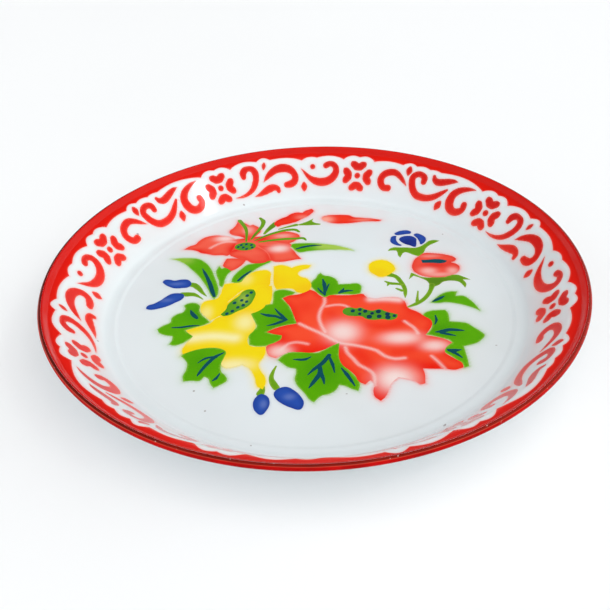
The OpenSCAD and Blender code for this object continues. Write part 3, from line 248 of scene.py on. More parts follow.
VEINS: list[Outline] = [[(-93.5, 48, 0.3), (-91, 42, 1.2), (-87.5, 33, 1.5), (-84.5, 24, 1.8),
    (-82, 15, 1.8), (-79.8, 8, 1.2)], [(-52, 42, 0.5), (-55, 38.5, 1.1), (-58.5, 34, 1.2), (-62,
    28.5, 1)], [(-14, 73.5, 0.8), (-8, 76, 1.4), (0, 77.8, 1.2), (8, 77.8, 0.4)], [(-96.5, -9.5,
    0.4), (-95, -13, 1.5), (-92.5, -17, 1.8), (-90.5, -19.5, 1.2)], [(-108, -30, 0.5), (-101, -30,
    1), (-95, -29, 1), (-88, -28.5, 0.4)], [(-66.5, -61, 0.4), (-72, -65, 1.5), (-77, -72, 1.4),
    (-82, -82, 1), (-83, -84.5, 0.3)], [(-73, -65, 0.8), (-79, -66.5, 1), (-84, -71, 0.3)],
    [(-67.5, -83, 0.4), (-70, -88, 1.2), (-72, -90, 0.3)], [(9, -68, 1.5), (4, -76, 1.6), (-2,
    -82, 1.3), (-6.5, -87.5, 0.3)], [(2, -80, 1.5), (2, -86, 1.8), (-1, -92, 1.6), (-4, -97, 1.2),
    (-6, -100.5, 0.3)], [(2.5, -86, 1.5), (4, -92, 1.2), (4.5, -97, 0.4)], [(9, -70, 1), (11, -78,
    1.2), (12, -86, 0.4)], [(17, -82, 0.5), (20, -88, 1.4), (23, -95, 1.1), (25, -100, 0.4)],
    [(-4, -69, 0.3), (-8, -71.5, 1.2), (-13, -71.5, 1), (-16.5, -71, 0.3)], [(-31, -11, 0.3),
    (-28, -16.5, 1), (-25, -21, 1.3), (-23, -25, 1.8), (-21, -26, 0.5)], [(-41.5, -17, 0.5), (-36,
    -19.5, 1.6), (-30, -21, 1.3), (-25.5, -24, 1.2)], [(-36.5, -32, 0.3), (-31, -30.5, 1.1), (-26,
    -28, 1.5), (-21.5, -26, 0.6)], [(7.5, 26, 0.5), (8.5, 19, 1.6), (8.8, 12, 1.4), (8.3, 4,
    0.8)], [(12.5, 19, 0.4), (10, 12, 1), (8.5, 6, 0.6)], [(3, 14, 0.3), (5.5, 9, 0.9), (7.8, 5,
    0.6)], [(20, 6, 1), (22.5, 9, 1.3), (24, 12, 0.4)], [(21, 6.5, 0.9), (26, 8.5, 1.3), (31, 8.3,
    0.4)], [(88, -47, 0.4), (93, -46.5, 1.8), (98, -45, 1.6), (104, -45.5, 1.4), (109, -46.5,
    0.4)], [(92, -48, 1.3), (97, -50, 1.2), (102, -52, 0.3)], [(91, -27.5, 0.5), (91, -33, 1),
    (89, -38, 0.4)], [(93.5, -67, 0.8), (99, -68, 1.6), (103, -67.5, 0.3)], [(94, -67.5, 1.2),
    (99, -72, 1.2), (102, -76, 0.4)], [(92, -10, 0.5), (95, -8, 1.3), (99, -5.5, 1.4), (102, -3.5,
    0.4)]]
DARK_DOTS: Outline = [(34.5, -16.8, 1.4), (29, -18, 1.6), (38.5, -19, 1.6), (43.5, -22, 1.3),
    (48.5, -20, 1.9), (55, -23.5, 1.8), (41, -26, 2), (48.5, -26, 1.8), (55, -27.5, 2), (60, -26,
    1.3), (34, -22, 1.2), (-63, -2, 1.4), (-60, -8, 1.3), (-56, -5.5, 1.4), (-64, -12.5, 1.4),
    (-68, -15.5, 1.3), (-57.5, 1, 1.3), (-53.5, 7, 1.4), (-50.5, 11, 1.3), (-53.5, -1, 1.2), (-63,
    83, 1.2), (-58.5, 84, 1.2), (-54, 82.5, 1.2), (-65.5, 80, 1.1), (-61, 79, 1.2), (-58, 76.5,
    1.1), (-53, 78.5, 1.1)]

# ------------------------------------------------------------------------------ curves


def path_headings(pts: Array, closed: bool) -> tuple[Array, Array, Array]:
    """Chord directions and lengths along a path, and its unit tangents.

    Args:
        pts: Points, one row each.
        closed: True if the last point joins the first.

    Returns:
        Unit chords, chord lengths and unit tangents.
    """
    nxt = np.roll(pts, -1, axis=0) - pts
    if not closed:
        nxt[-1] = nxt[-2]
    length = np.maximum(np.linalg.norm(nxt, axis=1), 1e-9)
    unit = nxt / length[:, None]
    before, before_len = np.roll(unit, 1, axis=0), np.roll(length, 1)
    if not closed:
        before[0], before_len[0] = unit[0], length[0]
    tangent = before * length[:, None] + unit * before_len[:, None]
    norm = np.maximum(np.linalg.norm(tangent, axis=1), 1e-9)
    return unit, length, tangent / norm[:, None]


def smooth_path(points: Sequence[Point], closed: bool, step: float, corner: float) -> Array:
    """Draws a smooth line through given points and keeps its sharp corners.

    Args:
        points: Points, with any further values carried along (such as a half width).
        closed: True for a loop.
        step: Rough distance between the points that come back.
        corner: Turn in degrees from which a point stays a sharp corner.

    Returns:
        The denser points, one row each.
    """
    pts = np.array(points, dtype=float)
    unit, length, tangent = path_headings(pts[:, :2], closed)
    count = len(pts)
    turn_cos = math.cos(math.radians(corner))
    out: list[Array] = []
    for i in range(count if closed else count - 1):
        j = (i + 1) % count
        chord, size = unit[i], length[i]
        m_a, m_b = tangent[i], tangent[j]
        if (closed or i > 0) and float(unit[i - 1] @ chord) < turn_cos:
            m_a = chord
        if (closed or j < count - 1) and float(unit[j] @ chord) < turn_cos:
            m_b = chord
        parts = max(2, int(round(size / step)))
        t = (np.arange(parts) / parts)[:, None]
        ease = 3 * t**2 - 2 * t**3
        row = pts[i] + (pts[j] - pts[i]) * t
        row[:, :2] = (
            pts[i, :2] * (1 - ease)
            + pts[j, :2] * ease
            + (t**3 - 2 * t**2 + t) * size * m_a
            + (t**3 - t**2) * size * m_b
        )
        out.append(row)
    if not closed:
        out.append(pts[-1:])
    return np.vstack(out)


def stroke_outline(stations: Sequence[Point], step: float = 1.0) -> Array:
    """Outlines a brush stroke with rounded ends.

    Args:
        stations: Rows of x, y and half width along the stroke.
        step: Rough distance between outline points.

    Returns:
        Outline points of the closed stroke.
    """
    line = smooth_path(stations, False, step, 120.0)
    xy, half = line[:, :2], line[:, 2:3]
    _, _, tangent = path_headings(xy, False)
    side = np.column_stack([-tangent[:, 1], tangent[:, 0]])
    turns = np.radians(np.linspace(60, -60, 5))

    def cap(centre: Array, ahead: Array, radius: float) -> Array:
        """Round end of a stroke, from its left side to its right side."""
        rows = [
            centre + radius * np.array([
                ahead[0] * math.cos(a) - ahead[1] * math.sin(a),
                ahead[0] * math.sin(a) + ahead[1] * math.cos(a),
            ])
            for a in turns
        ]
        return np.array(rows)

    return np.vstack([
        xy + side * half,
        cap(xy[-1], tangent[-1], float(half[-1, 0])),
        (xy - side * half)[::-1],
        cap(xy[0], -tangent[0], float(half[0, 0])),
    ])


def round_outline(x: float, y: float, rx: float, ry: float, tilt: float = 0.0) -> Array:
    """Outlines an ellipse.

    Args:
        x: Centre across.
        y: Centre up.
        rx: Half width.
        ry: Half height.
        tilt: Turn in degrees.

    Returns:
        Outline points.
    """
    a = np.linspace(0, 2 * math.pi, 28, endpoint=False)
    turn = math.radians(tilt)
    px, py = rx * np.cos(a), ry * np.sin(a)
    return np.column_stack([
        x + px * math.cos(turn) - py * math.sin(turn),
        y + px * math.sin(turn) + py * math.cos(turn),
    ])


def diamond_outline(x: float, y: float, half: float, tall: float, tilt: float) -> Array:
    """Outlines a diamond with soft corners and slightly hollow sides."""
    a = np.linspace(0, 2 * math.pi, 32, endpoint=False)
    shape = np.column_stack([
        np.sign(np.cos(a)) * np.abs(np.cos(a)) ** 1.35 * half,
        np.sign(np.sin(a)) * np.abs(np.sin(a)) ** 1.35 * tall,
    ])
    turn = math.radians(tilt)
    spin = np.array([[math.cos(turn), math.sin(turn)], [-math.sin(turn), math.cos(turn)]])
    return shape @ spin + np.array([x, y])


def inside(points: Array, outline: Array) -> Array:
    """Tells which points lie inside an outline.

    Args:
        points: Points to test.
        outline: Closed outline.

    Returns:
        One bool for each point.
    """
    x, y = points[:, 0:1], points[:, 1:2]
    x1, y1 = outline[:, 0], outline[:, 1]
    x2, y2 = np.roll(x1, -1), np.roll(y1, -1)
    rise = np.where(np.abs(y2 - y1) < 1e-12, 1e-12, y2 - y1)
    crosses = ((y1 > y) != (y2 > y)) & (x < (x2 - x1) * (y - y1) / rise + x1)
    return np.count_nonzero(crosses, axis=1) % 2 == 1


def edge_distance(points: Array, outline: Array, closed: bool = True) -> Array:
    """Distance from each point to a line of points.

    Args:
        points: Points to test.
        outline: Points of the line.
        closed: True if the line is a loop.

    Returns:
        One distance for each point.
    """
    a = outline if closed else outline[:-1]
    b = np.roll(outline, -1, axis=0) if closed else outline[1:]
    ab = b - a
    size = np.maximum(np.sum(ab**2, axis=1), 1e-12)
    gap = points[:, None, :] - a[None, :, :]
    t = np.clip(np.sum(gap * ab[None], axis=2) / size[None], 0, 1)
    off = gap - ab[None] * t[..., None]
    return np.sqrt(np.min(np.sum(off**2, axis=2), axis=1))


# ------------------------------------------------------------------------------ airbrush


@dataclass(frozen=True)
class Puff:
    """One soft round shot of the airbrush, or of a bare patch left by it."""

    x: float
    y: float
    rx: float
    ry: float
    strength: float
    tilt: float = 0.0

    def at(self, xy: Array) -> Array:
        """Strength of the shot at each point."""
        t = math.radians(self.tilt)
        dx, dy = xy[:, 0] - self.x, xy[:, 1] - self.y
        px = (dx * math.cos(t) + dy * math.sin(t)) / self.rx
        py = (-dx * math.sin(t) + dy * math.cos(t)) / self.ry
        return self.strength * np.exp(-1.1 * (px**2 + py**2) ** 1.25)


@dataclass(frozen=True)
class Sweep:
    """One soft sweep of the airbrush along a line."""

    line: tuple[Point, ...]
    width: float
    strength: float

    def at(self, xy: Array) -> Array:
        """Strength of the sweep at each point."""
        path = smooth_path(self.line, False, 4.0, 120.0)
        away = edge_distance(xy, path[:, :2], closed=False)
        return self.strength * np.exp(-((away / self.width) ** 2))


Spray = Puff | Sweep


def spray_at(shots: Sequence[Spray], xy: Array) -> Array:
    """Adds up airbrush shots, so that overlapping ones build up without passing 1."""
    bare = np.ones(len(xy))
    for shot in shots:
        bare *= 1 - np.clip(shot.at(xy), 0, 1)
    return 1 - bare


class Trace:
    """Points along outlines, to tell how far a spot is from the nearest sprayed edge."""

    def __init__(self, lines: Sequence[Array]) -> None:
        """Sorts the outlines' points for searching.

        Args:
            lines: Outlines as rows of x, y and z.
        """
        points = np.vstack(lines)
        self.tree = KDTree(len(points))
        for i, point in enumerate(points.tolist()):
            self.tree.insert(point, i)
        self.tree.balance()

    def nearest(self, points: Array) -> tuple[Array, Array]:
        """Finds the nearest edge of each point.

        Args:
            points: Rows of x, y and z.

        Returns:
            Distances, and how much further out than the point the edge lies in plan.
        """
        found = [self.tree.find(p) for p in points.tolist()]
        away = np.array([f[2] for f in found])
        edge = np.array([math.hypot(f[0].x, f[0].y) for f in found])
        return away, edge - np.hypot(points[:, 0], points[:, 1])


# ------------------------------------------------------------------------------ finishes


def linear(rgb: Rgb) -> tuple[float, float, float, float]:
    """Turns a display colour of 0 to 255 into the shader's linear colour."""
    out = [c / 255 / 12.92 if c <= 10 else ((c / 255 + 0.055) / 1.055) ** 2.4 for c in rgb]
    return (out[0], out[1], out[2], 1.0)


WHITE_ENAMEL: Rgb = (225, 234, 237)


class Nodes:
    """Small helper that adds shader nodes to one material and links them."""

    def __init__(self, name: str) -> None:
        """Starts a material with an empty Principled shader."""
        self.material = bpy.data.materials.new(name)
        self.material.use_nodes = True
        self.tree = self.material.node_tree
        self.shader = self.tree.nodes["Principled BSDF"]

    def add(self, kind: str, **settings: object) -> bpy.types.Node:
        """Adds a node and sets its settings and input values.

        Args:
            kind: Blender's node type.
            settings: Attribute values, or input values keyed by in_NAME.

        Returns:
            The new node.
        """
        node = self.tree.nodes.new(kind)
        for key, value in settings.items():
            if key.startswith("in_"):
                node.inputs[key[3:].replace("_", " ")].default_value = value
            else:
                setattr(node, key, value)
        return node

    def link(self, out: bpy.types.NodeSocket, into: bpy.types.NodeSocket) -> None:
        """Links two sockets."""
        self.tree.links.new(out, into)

    def blend(self, fac: bpy.types.NodeSocket, low: object, high: object) -> bpy.types.NodeSocket:
        """Mixes two colours, each a linked socket or a fixed value.

        Args:
            fac: Socket with the mixing factor.
            low: Colour at 0.
            high: Colour at 1.

        Returns:
            The mixed colour's socket.
        """
        mix = self.add("ShaderNodeMix", data_type="RGBA", clamp_factor=True)
        self.link(fac, mix.inputs[0])
        for socket, value in ((mix.inputs[6], low), (mix.inputs[7], high)):
            if isinstance(value, bpy.types.NodeSocket):
                self.link(value, socket)
            else:
                socket.default_value = value
        return mix.outputs[2]

    def sum(self, mode: str, a: object, b: object, clamp: bool = False) -> bpy.types.NodeSocket:
        """Does one sum on two values, each a linked socket or a fixed value."""
        node = self.add("ShaderNodeMath", operation=mode, use_clamp=clamp)
        for socket, value in zip(node.inputs, (a, b)):
            if isinstance(value, bpy.types.NodeSocket):
                self.link(value, socket)
            else:
                socket.default_value = value
        return node.outputs[0]

    def noise(self, scale: float, detail: float, rough: float = 0.5) -> bpy.types.NodeSocket:
        """Adds noise in the object's own place, scale in features to the metre."""
        place = self.add("ShaderNodeTexCoord").outputs["Object"]
        node = self.add("ShaderNodeTexNoise", in_Scale=scale, in_Detail=detail, in_Roughness=rough)
        self.link(place, node.inputs["Vector"])
        return node.outputs["Fac"]

    def attribute(self, name: str) -> bpy.types.NodeSocket:
        """Reads one painted value of the mesh."""
        return self.add("ShaderNodeAttribute", attribute_name=name).outputs["Fac"]

    def ramp(self, fac: bpy.types.NodeSocket, low: float, high: float) -> bpy.types.NodeSocket:
        """Stretches low..high to 0..1 with soft ends."""
        node = self.add("ShaderNodeMapRange", interpolation_type="SMOOTHSTEP")
        node.inputs["From Min"].default_value = low
        node.inputs["From Max"].default_value = high
        self.link(fac, node.inputs["Value"])
        return node.outputs["Result"]

    def bump(self, layers: Sequence[tuple[bpy.types.NodeSocket, float, float]]) -> None:
        """Stacks bumps on the shader.

        Args:
            layers: Rows of height socket, strength and distance in metres.
        """
        normal = None
        for height, strength, distance in layers:
            node = self.add("ShaderNodeBump", in_Strength=strength, in_Distance=distance)
            self.link(height, node.inputs["Height"])
            if normal is not None:
                self.link(normal, node.inputs["Normal"])
            normal = node.outputs["Normal"]
        if normal is not None:
            self.link(normal, self.shader.inputs["Normal"])


@dataclass(frozen=True)
class FiredEnamel:
    """Glossy fired enamel: one main colour, sprayed deeper or thinner to the white under it."""

    name: str
    main: Rgb
    deep: Rgb
    pale: Rgb = WHITE_ENAMEL
    grain: float = 0.35
    mottle: float = 0.1
    roughness: float = 0.13
    specular: float = 0.14

    def make(self) -> bpy.types.Material:
        """Builds the material.

        Returns:
            Material that reads the painted values deep and pale.
        """
        n = Nodes(self.name)
        speck = n.noise(2600.0, 2.0, 0.6)
        cloud = n.noise(45.0, 3.0)
        grain = n.sum("MULTIPLY", n.sum("SUBTRACT", speck, 0.5), self.grain)
        soft = n.sum("MULTIPLY", n.sum("SUBTRACT", cloud, 0.5), self.mottle * 4)
        deep = n.sum("ADD", n.sum("ADD", n.attribute("deep"), soft), grain, clamp=True)
        pale_in = n.attribute("pale")
        open_grain = n.sum("MULTIPLY", n.sum("MULTIPLY", grain, pale_in), 2.0)
        pale = n.sum("ADD", pale_in, open_grain, clamp=True)
        colour = n.blend(deep, linear(self.main), linear(self.deep))
        colour = n.blend(pale, colour, linear(self.pale))
        n.link(colour, n.shader.inputs["Base Color"])
        glaze_surface(n, self.roughness, self.specular)
        return n.material


def glaze_surface(n: Nodes, roughness: float, specular: float = 0.5) -> None:
    """Gives a material the wavy, glassy top that fired enamel has.

    Args:
        n: The material's nodes.
        roughness: Roughness of the glaze.
        specular: Strength of its mirror, 0.5 for clean glass.
    """
    n.shader.inputs["IOR"].default_value = 1.5
    n.shader.inputs["Specular IOR Level"].default_value = specular
    wave = n.noise(95.0, 2.0)
    peel = n.noise(420.0, 2.0)
    rough = n.sum("ADD", n.sum("MULTIPLY", n.noise(60.0, 4.0), 0.06), roughness - 0.03)
    n.link(rough, n.shader.inputs["Roughness"])
    n.bump([(wave, 0.12, 0.0006), (peel, 0.06, 0.00015)])


@dataclass(frozen=True)
class WhiteEnamel:
    """White cover coat with a cool tinge, faint specks and sprayed haze of the border's red."""

    name: str
    base: Rgb = WHITE_ENAMEL
    grimy: Rgb = (196, 200, 200)
    sprays: tuple[tuple[str, Rgb], ...] = (
        ("haze", (246, 86, 66)), ("yellow", (242, 218, 60)), ("leaf", (128, 184, 50)),
        ("blue", (90, 116, 186)))
    spots: tuple[Point, ...] = ((-83.5, -99, 0.8), (-74, -118, 0.7))

    def make(self) -> bpy.types.Material:
        """Builds the material, which reads one painted value for each sprayed colour."""
        n = Nodes(self.name)
        speck = n.noise(2600.0, 2.0, 0.6)
        grain = n.sum("SUBTRACT", speck, 0.5)
        cloud = n.ramp(n.noise(9.0, 3.0), 0.35, 0.75)
        tone = n.blend(n.sum("MULTIPLY", cloud, 0.22), linear(self.base), linear(self.grimy))
        for name, colour in self.sprays:
            spray = n.attribute(name)
            spray = n.sum("ADD", spray, n.sum("MULTIPLY", spray, grain), clamp=True)
            tone = n.blend(spray, tone, linear(colour))
        dots = n.ramp(n.noise(210.0, 0.0), 0.88, 0.9)
        for x, y, radius in self.spots:
            away = n.add("ShaderNodeVectorMath", operation="DISTANCE")
            n.link(n.add("ShaderNodeTexCoord").outputs["Object"], away.inputs[0])
            away.inputs[1].default_value = (x * MM, y * MM, 1.4 * MM)
            spot = n.ramp(away.outputs["Value"], radius * 1.3 * MM, radius * 0.6 * MM)
            dots = n.sum("MAXIMUM", dots, spot)
        tone = n.blend(n.sum("MULTIPLY", dots, 0.6), tone, linear((110, 90, 84)))
        n.link(tone, n.shader.inputs["Base Color"])
        glaze_surface(n, 0.12)
        return n.material


@dataclass(frozen=True)
class RimRed:
    """Red of the rolled bead, dark partly as painted shade, burnt at the crest, with chips to the
    iron.
    """

    name: str
    # painted shade: the bead's dark reds stand partly for the shade on its outer face
    main: Rgb = (190, 4, 3)
    dark: Rgb = (112, 3, 3)

    def make(self) -> bpy.types.Material:
        """Builds the material from painted values: thin enamel and painted highlight, burnt crest
        and painted shade, wear.
        """
        n = Nodes(self.name)
        cloud = n.ramp(n.noise(70.0, 4.0), 0.3, 0.7)
        colour = n.blend(n.sum("MULTIPLY", cloud, 0.45), linear(self.main), linear(self.dark))
        burn = n.sum("ADD", n.attribute("burn"),
                     n.sum("MULTIPLY", n.sum("SUBTRACT", n.noise(260.0, 3.0), 0.5), 0.5))
        burnt_and_shaded = n.ramp(burn, 0.35, 0.75)
        # painted shade: the crest's burnt dark is partly painted shade, heavier on the left
        colour = n.blend(burnt_and_shaded, colour, linear((38, 10, 10)))
        # painted highlight: the thin value's pale orange strip beside the crest, stronger on the
        # right
        colour = n.blend(n.attribute("thin"), colour, linear((232, 120, 90)))
        chip = n.sum("MULTIPLY", n.ramp(n.noise(330.0, 3.0), 0.655, 0.69), n.attribute("wear"))
        colour = n.blend(chip, colour, linear((24, 22, 24)))
        fleck = n.sum("MULTIPLY", n.ramp(n.noise(410.0, 2.0), 0.7, 0.73), n.attribute("wear"))
        colour = n.blend(fleck, colour, linear((226, 200, 190)))
        n.link(colour, n.shader.inputs["Base Color"])
        glaze_surface(n, 0.16, 0.05)
        return n.material


@dataclass(frozen=True)
class GroundEnamel:
    """Dark ground coat where the cover has drawn thin, lighter and redder to the right as painted
    light.
    """

    name: str

    def make(self) -> bpy.types.Material:
        """Builds the material."""
        n = Nodes(self.name)
        cloud = n.sum("MULTIPLY", n.sum("SUBTRACT", n.noise(40.0, 4.0), 0.5), 0.9)
        # painted light: dark brown turns to red towards the right of the tray, with random mottle
        warm = n.ramp(n.sum("ADD", n.attribute("warm"), cloud), 0.1, 0.9)
        colour = n.blend(warm, linear((84, 16, 8)), linear((140, 24, 10)))
        chip = n.sum("MULTIPLY", n.ramp(n.noise(420.0, 2.0), 0.7, 0.73), 0.8)
        colour = n.blend(chip, colour, linear((214, 190, 184)))
        n.link(colour, n.shader.inputs["Base Color"])
        glaze_surface(n, 0.22, 0.06)
        return n.material


@dataclass(frozen=True)
class BareSteel:
    """Pressed sheet under the coats, only open inside the rolled bead."""

    name: str

    def make(self) -> bpy.types.Material:
        """Builds the material."""
        n = Nodes(self.name)
        n.shader.inputs["Metallic"].default_value = 1.0
        stain = n.ramp(n.noise(120.0, 5.0), 0.4, 0.7)
        n.link(n.blend(stain, linear((150, 150, 154)), linear((96, 84, 78))),
               n.shader.inputs["Base Color"])
        n.link(n.sum("ADD", n.sum("MULTIPLY", stain, 0.25), 0.3), n.shader.inputs["Roughness"])
        n.bump([(n.noise(900.0, 3.0), 0.2, 0.0001)])
        return n.material


# ------------------------------------------------------------------------------ meshes


class Weave:
    """Collects the patches of one piece and turns them into one mesh object."""

    def __init__(self) -> None:
        """Starts an empty piece."""
        self.points: list[Array] = []
        self.faces: list[tuple[int, ...]] = []
        self.values: dict[str, list[Array]] = {}
        self.count = 0

    def patch(self, points: Array, faces: Sequence[tuple[int, ...]],
              values: dict[str, Array]) -> None:
        """Adds one patch.

        Args:
            points: Points in millimetres.
            faces: Corners of each face, counted from this patch's first point.
            values: Painted values, one for each point.
        """
        for name in values:
            if name not in self.values:
                self.values[name] = [np.zeros(self.count)] if self.count else []
        self.points.append(points)
        self.faces.extend(tuple(i + self.count for i in f) for f in faces)
        for name, rows in self.values.items():
            rows.append(values.get(name, np.zeros(len(points))))
        self.count += len(points)

    def finish(self, name: str, material: bpy.types.Material, slot: str,
               replaces: Sequence[str] = (), crease: float = 40.0) -> bpy.types.Object:
        """Makes the object, rides it on the tray and hides the CAD nodes that it stands for.

        Args:
            name: Name of the piece.
            material: Its finish.
            slot: Not used.
            replaces: CAD nodes that it stands for.
            crease: Angle in degrees from which an edge stays sharp.

        Returns:
            The new object.
        """
        mesh = bpy.data.meshes.new(name)
        rows = np.vstack(self.points) * MM
        mesh.from_pydata([tuple(p) for p in rows.tolist()], [], self.faces)
        mesh.validate()
        for key, values in self.values.items():
            layer = mesh.attributes.new(key, "FLOAT", "POINT")
            layer.data.foreach_set("value", np.concatenate(values).astype(np.float32))
        mesh.materials.append(material)
        mesh.shade_smooth()
        mesh.set_sharp_from_angle(angle=math.radians(crease))
        mesh.update()
        piece = bpy.data.objects.new(name, mesh)
        bpy.context.scene.collection.objects.link(piece)
        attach(piece, ROOT)
        if replaces:
            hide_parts(*replaces)
        log.info("%s: %d points, %d faces", name, len(mesh.vertices), len(mesh.polygons))
        return piece


def fill_outline(outline: Array, step: float) -> tuple[Array, list[tuple[int, ...]]]:
    """Fills an outline with an even net of triangles.

    Args:
        outline: Closed outline.
        step: Spacing of the net's inner points.

    Returns:
        Points and triangles, wound anticlockwise.
    """
    low, high = outline.min(axis=0), outline.max(axis=0)
    rows = []
    tall = step * math.sqrt(3) / 2
    for k, y in enumerate(np.arange(low[1] + tall / 2, high[1], tall)):
        xs = np.arange(low[0] + step * (0.25 + 0.5 * (k % 2)), high[0], step)
        rows.append(np.column_stack([xs, np.full(len(xs), y)]))
    grid = np.vstack(rows) if rows else np.zeros((0, 2))
    if len(grid):
        grid = grid[inside(grid, outline)]
    if len(grid):
        grid = grid[edge_distance(grid, outline) > step * 0.45]
    pts = np.vstack([outline, grid]) if len(grid) else outline
    ring = list(range(len(outline)))
    made = delaunay_2d_cdt([Vector(p) for p in pts.tolist()], [], [ring], 1, 1e-6)
    points = np.array([tuple(v) for v in made[0]])
    faces = []
    for face in made[2]:
        a, b, c = (points[i] for i in face[:3])
        area = (b[0] - a[0]) * (c[1] - a[1]) - (b[1] - a[1]) * (c[0] - a[0])
        if abs(area) > 1e-9:
            faces.append(tuple(face) if area > 0 else tuple(reversed(face)))
    return points, faces


def plate(place: Callable[[Array, float], Array], flat: Array,
          faces: list[tuple[int, ...]], top: float, under: float
          ) -> tuple[Array, list[tuple[int, ...]]]:
    """Gives a flat net its thickness: a top, a bottom just in the glaze, and the edge between.

    Args:
        place: Puts flat points on the tray at a height over the glaze.
        flat: Flat points.
        faces: Triangles, wound anticlockwise.
        top: Height of the top over the glaze.
        under: Height of the bottom, below 0.

    Returns:
        Points and faces of the closed plate.
    """
    count = len(flat)
    points = np.vstack([place(flat, top), place(flat, under)])
    sides: set[tuple[int, int]] = set()
    for f in faces:
        for i, a in enumerate(f):
            sides.add((a, f[(i + 1) % len(f)]))
    walls = [(b, a, a + count, b + count) for a, b in sorted(sides) if (b, a) not in sides]
    bottom = [tuple(i + count for i in reversed(f)) for f in faces]
    return points, [*faces, *bottom, *walls]


# ------------------------------------------------------------------------------ the pressing


@dataclass
class DishSection:
    """Section of the pressing along its glazed face, from the middle to the end of the bead."""

    radius: float = 200.0
    depth: float = 39.0
    wall_angle: float = 50.0
    lip_angle: float = 20.0
    lip_length: float = 6.8
    rise_angle: float = 60.0
    rise_length: float = 4.2
    bead_radius: float = 2.2
    floor_radius: float = 152.0
    step_rise: float = 0.8
    step_run: float = 2.4
    face_z: float = 1.4
    border_radius: float = 176.6
    wall_lean: float = 0.65
    stencil_creep: float = 1.6
    creep_to: float = 118.7
    line: Array = field(init=False)
    normals: Array = field(init=False)
    arc: Array = field(init=False)
    rise_end_arc: float = field(init=False)

    def __post_init__(self) -> None:
        """Draws the section once."""
        self.bead_centre = np.array(
            [self.radius - self.bead_radius, self.face_z + self.depth - self.bead_radius])
        rise, lip = math.radians(self.rise_angle), math.radians(self.lip_angle)
        along = np.array([math.cos(rise), math.sin(rise)])
        rise_end = self.bead_centre + self.bead_radius * np.array([-along[1], along[0]])
        heel = rise_end - self.rise_length * along
        shoulder = heel - self.lip_length * np.array([math.cos(lip), math.sin(lip)])
        ledge = self.face_z + self.step_rise
        foot_r = shoulder[0] - (shoulder[1] - ledge) / math.tan(math.radians(self.wall_angle))
        corners = [
            (np.array([0.0, self.face_z]), 0.0),
            (np.array([self.floor_radius, self.face_z]), 2.5),
            (np.array([self.floor_radius + self.step_run, ledge]), 2.5),
            (np.array([foot_r, ledge]), 9.0),
            (shoulder, 8.0),
            (heel, 1.2),
            (rise_end, 0.0),
        ]
        rows = [corners[0][0]]
        for (a, _), (b, r), (c, _) in zip(corners, corners[1:], corners[2:]):
            rows.extend(self.bend(a, b, c, r))
        turns = np.radians(90 + self.rise_angle - np.arange(0, 270.1, 5.0))
        rows.extend(self.bead_centre + self.bead_radius * np.array([math.cos(t), math.sin(t)])
                    for t in turns)
        self.line = np.array(rows)
        chord = np.diff(self.line, axis=0)
        self.arc = np.concatenate([[0.0], np.cumsum(np.linalg.norm(chord, axis=1))])
        self.rise_end_arc = float(self.arc[len(self.line) - len(turns)])
        _, _, tangent = path_headings(self.line, False)
        self.normals = np.column_stack([-tangent[:, 1], tangent[:, 0]])

    @staticmethod
    def bend(a: Array, b: Array, c: Array, radius: float) -> list[Array]:
        """Rounds corner b between a and c with an arc."""
        d1, d2 = (b - a) / np.linalg.norm(b - a), (c - b) / np.linalg.norm(c - b)
        turn = math.atan2(d1[0] * d2[1] - d1[1] * d2[0], float(d1 @ d2))
        start = b - d1 * radius * math.tan(abs(turn) / 2)
        centre = start + np.array([-d1[1], d1[0]]) * radius * math.copysign(1, turn)
        spoke, out = start - centre, []
        for i in range(9):
            t = turn * i / 8
            out.append(centre + np.array([
                spoke[0] * math.cos(t) - spoke[1] * math.sin(t),
                spoke[0] * math.sin(t) + spoke[1] * math.cos(t)]))
        return out

    def at(self, arc: Array | float, lift: float = 0.0) -> Array:
        """Points of the section at given lengths along it, lifted off the glaze.

        Args:
            arc: Length along the section.
            lift: Distance out of the glaze.

        Returns:
            Rows of radius and height.
        """
        s = np.atleast_1d(arc)
        out = np.column_stack([np.interp(s, self.arc, self.line[:, k]) for k in (0, 1)])
        way = np.column_stack([np.interp(s, self.arc, self.normals[:, k]) for k in (0, 1)])
        way /= np.linalg.norm(way, axis=1)[:, None]
        return out + way * lift

    def arc_at_radius(self, radius: Array | float) -> Array:
        """Length along the section where the dish has a given plan radius."""
        upto = int(np.searchsorted(self.arc, self.rise_end_arc)) + 1
        return np.interp(radius, self.line[:upto, 0], self.arc[:upto])

    def bead_arc(self, degrees: float) -> float:
        """Length along the section at some degrees of the bead past the upturn."""
        return self.rise_end_arc + self.bead_radius * math.radians(degrees)

    def on_floor(self, xy: Array, lift: float) -> Array:
        """Puts plan points on the floor."""
        return np.column_stack([xy, np.full(len(xy), self.face_z + lift)])

    def on_dish(self, xy: Array, lift: float) -> Array:
        """Puts plan points on the dish, wherever they lie."""
        r = np.hypot(xy[:, 0], xy[:, 1])
        rz = self.at(self.arc_at_radius(r), lift)
        ways = xy / np.maximum(r, 1e-9)[:, None]
        return np.column_stack([ways * rz[:, :1], rz[:, 1]])

    def plan(self, uv: Array, start: float) -> Array:
        """Turns developed border points into plan points.

        Args:
            uv: Length clockwise round the border, and height up the wall.
            start: Direction in degrees where u is 0.

        Returns:
            Plan points.
        """
        r = self.border_radius + self.wall_lean * uv[:, 1]
        per_mm = 180 / (math.pi * self.border_radius)
        a = self.crept(np.radians(start - uv[:, 0] * per_mm))
        return np.column_stack([r * np.cos(a), r * np.sin(a)])

    def crept(self, ang: Array) -> Array:
        """Directions in radians after the stencils crept towards one side."""
        return ang + math.radians(self.stencil_creep) * np.sin(math.radians(self.creep_to) - ang)

    def border_uv(self, angle: Array, radius: Array, start: float, pitch: float
                  ) -> tuple[Array, Array]:
        """Developed place of plan points, u counted from the nearest floret before each."""
        mm = math.pi * self.border_radius / 180
        u = ((start - np.degrees(angle)) % pitch) * mm
        return u, (radius - self.border_radius) / self.wall_lean


SECTION = DishSection()
ROUND = 600


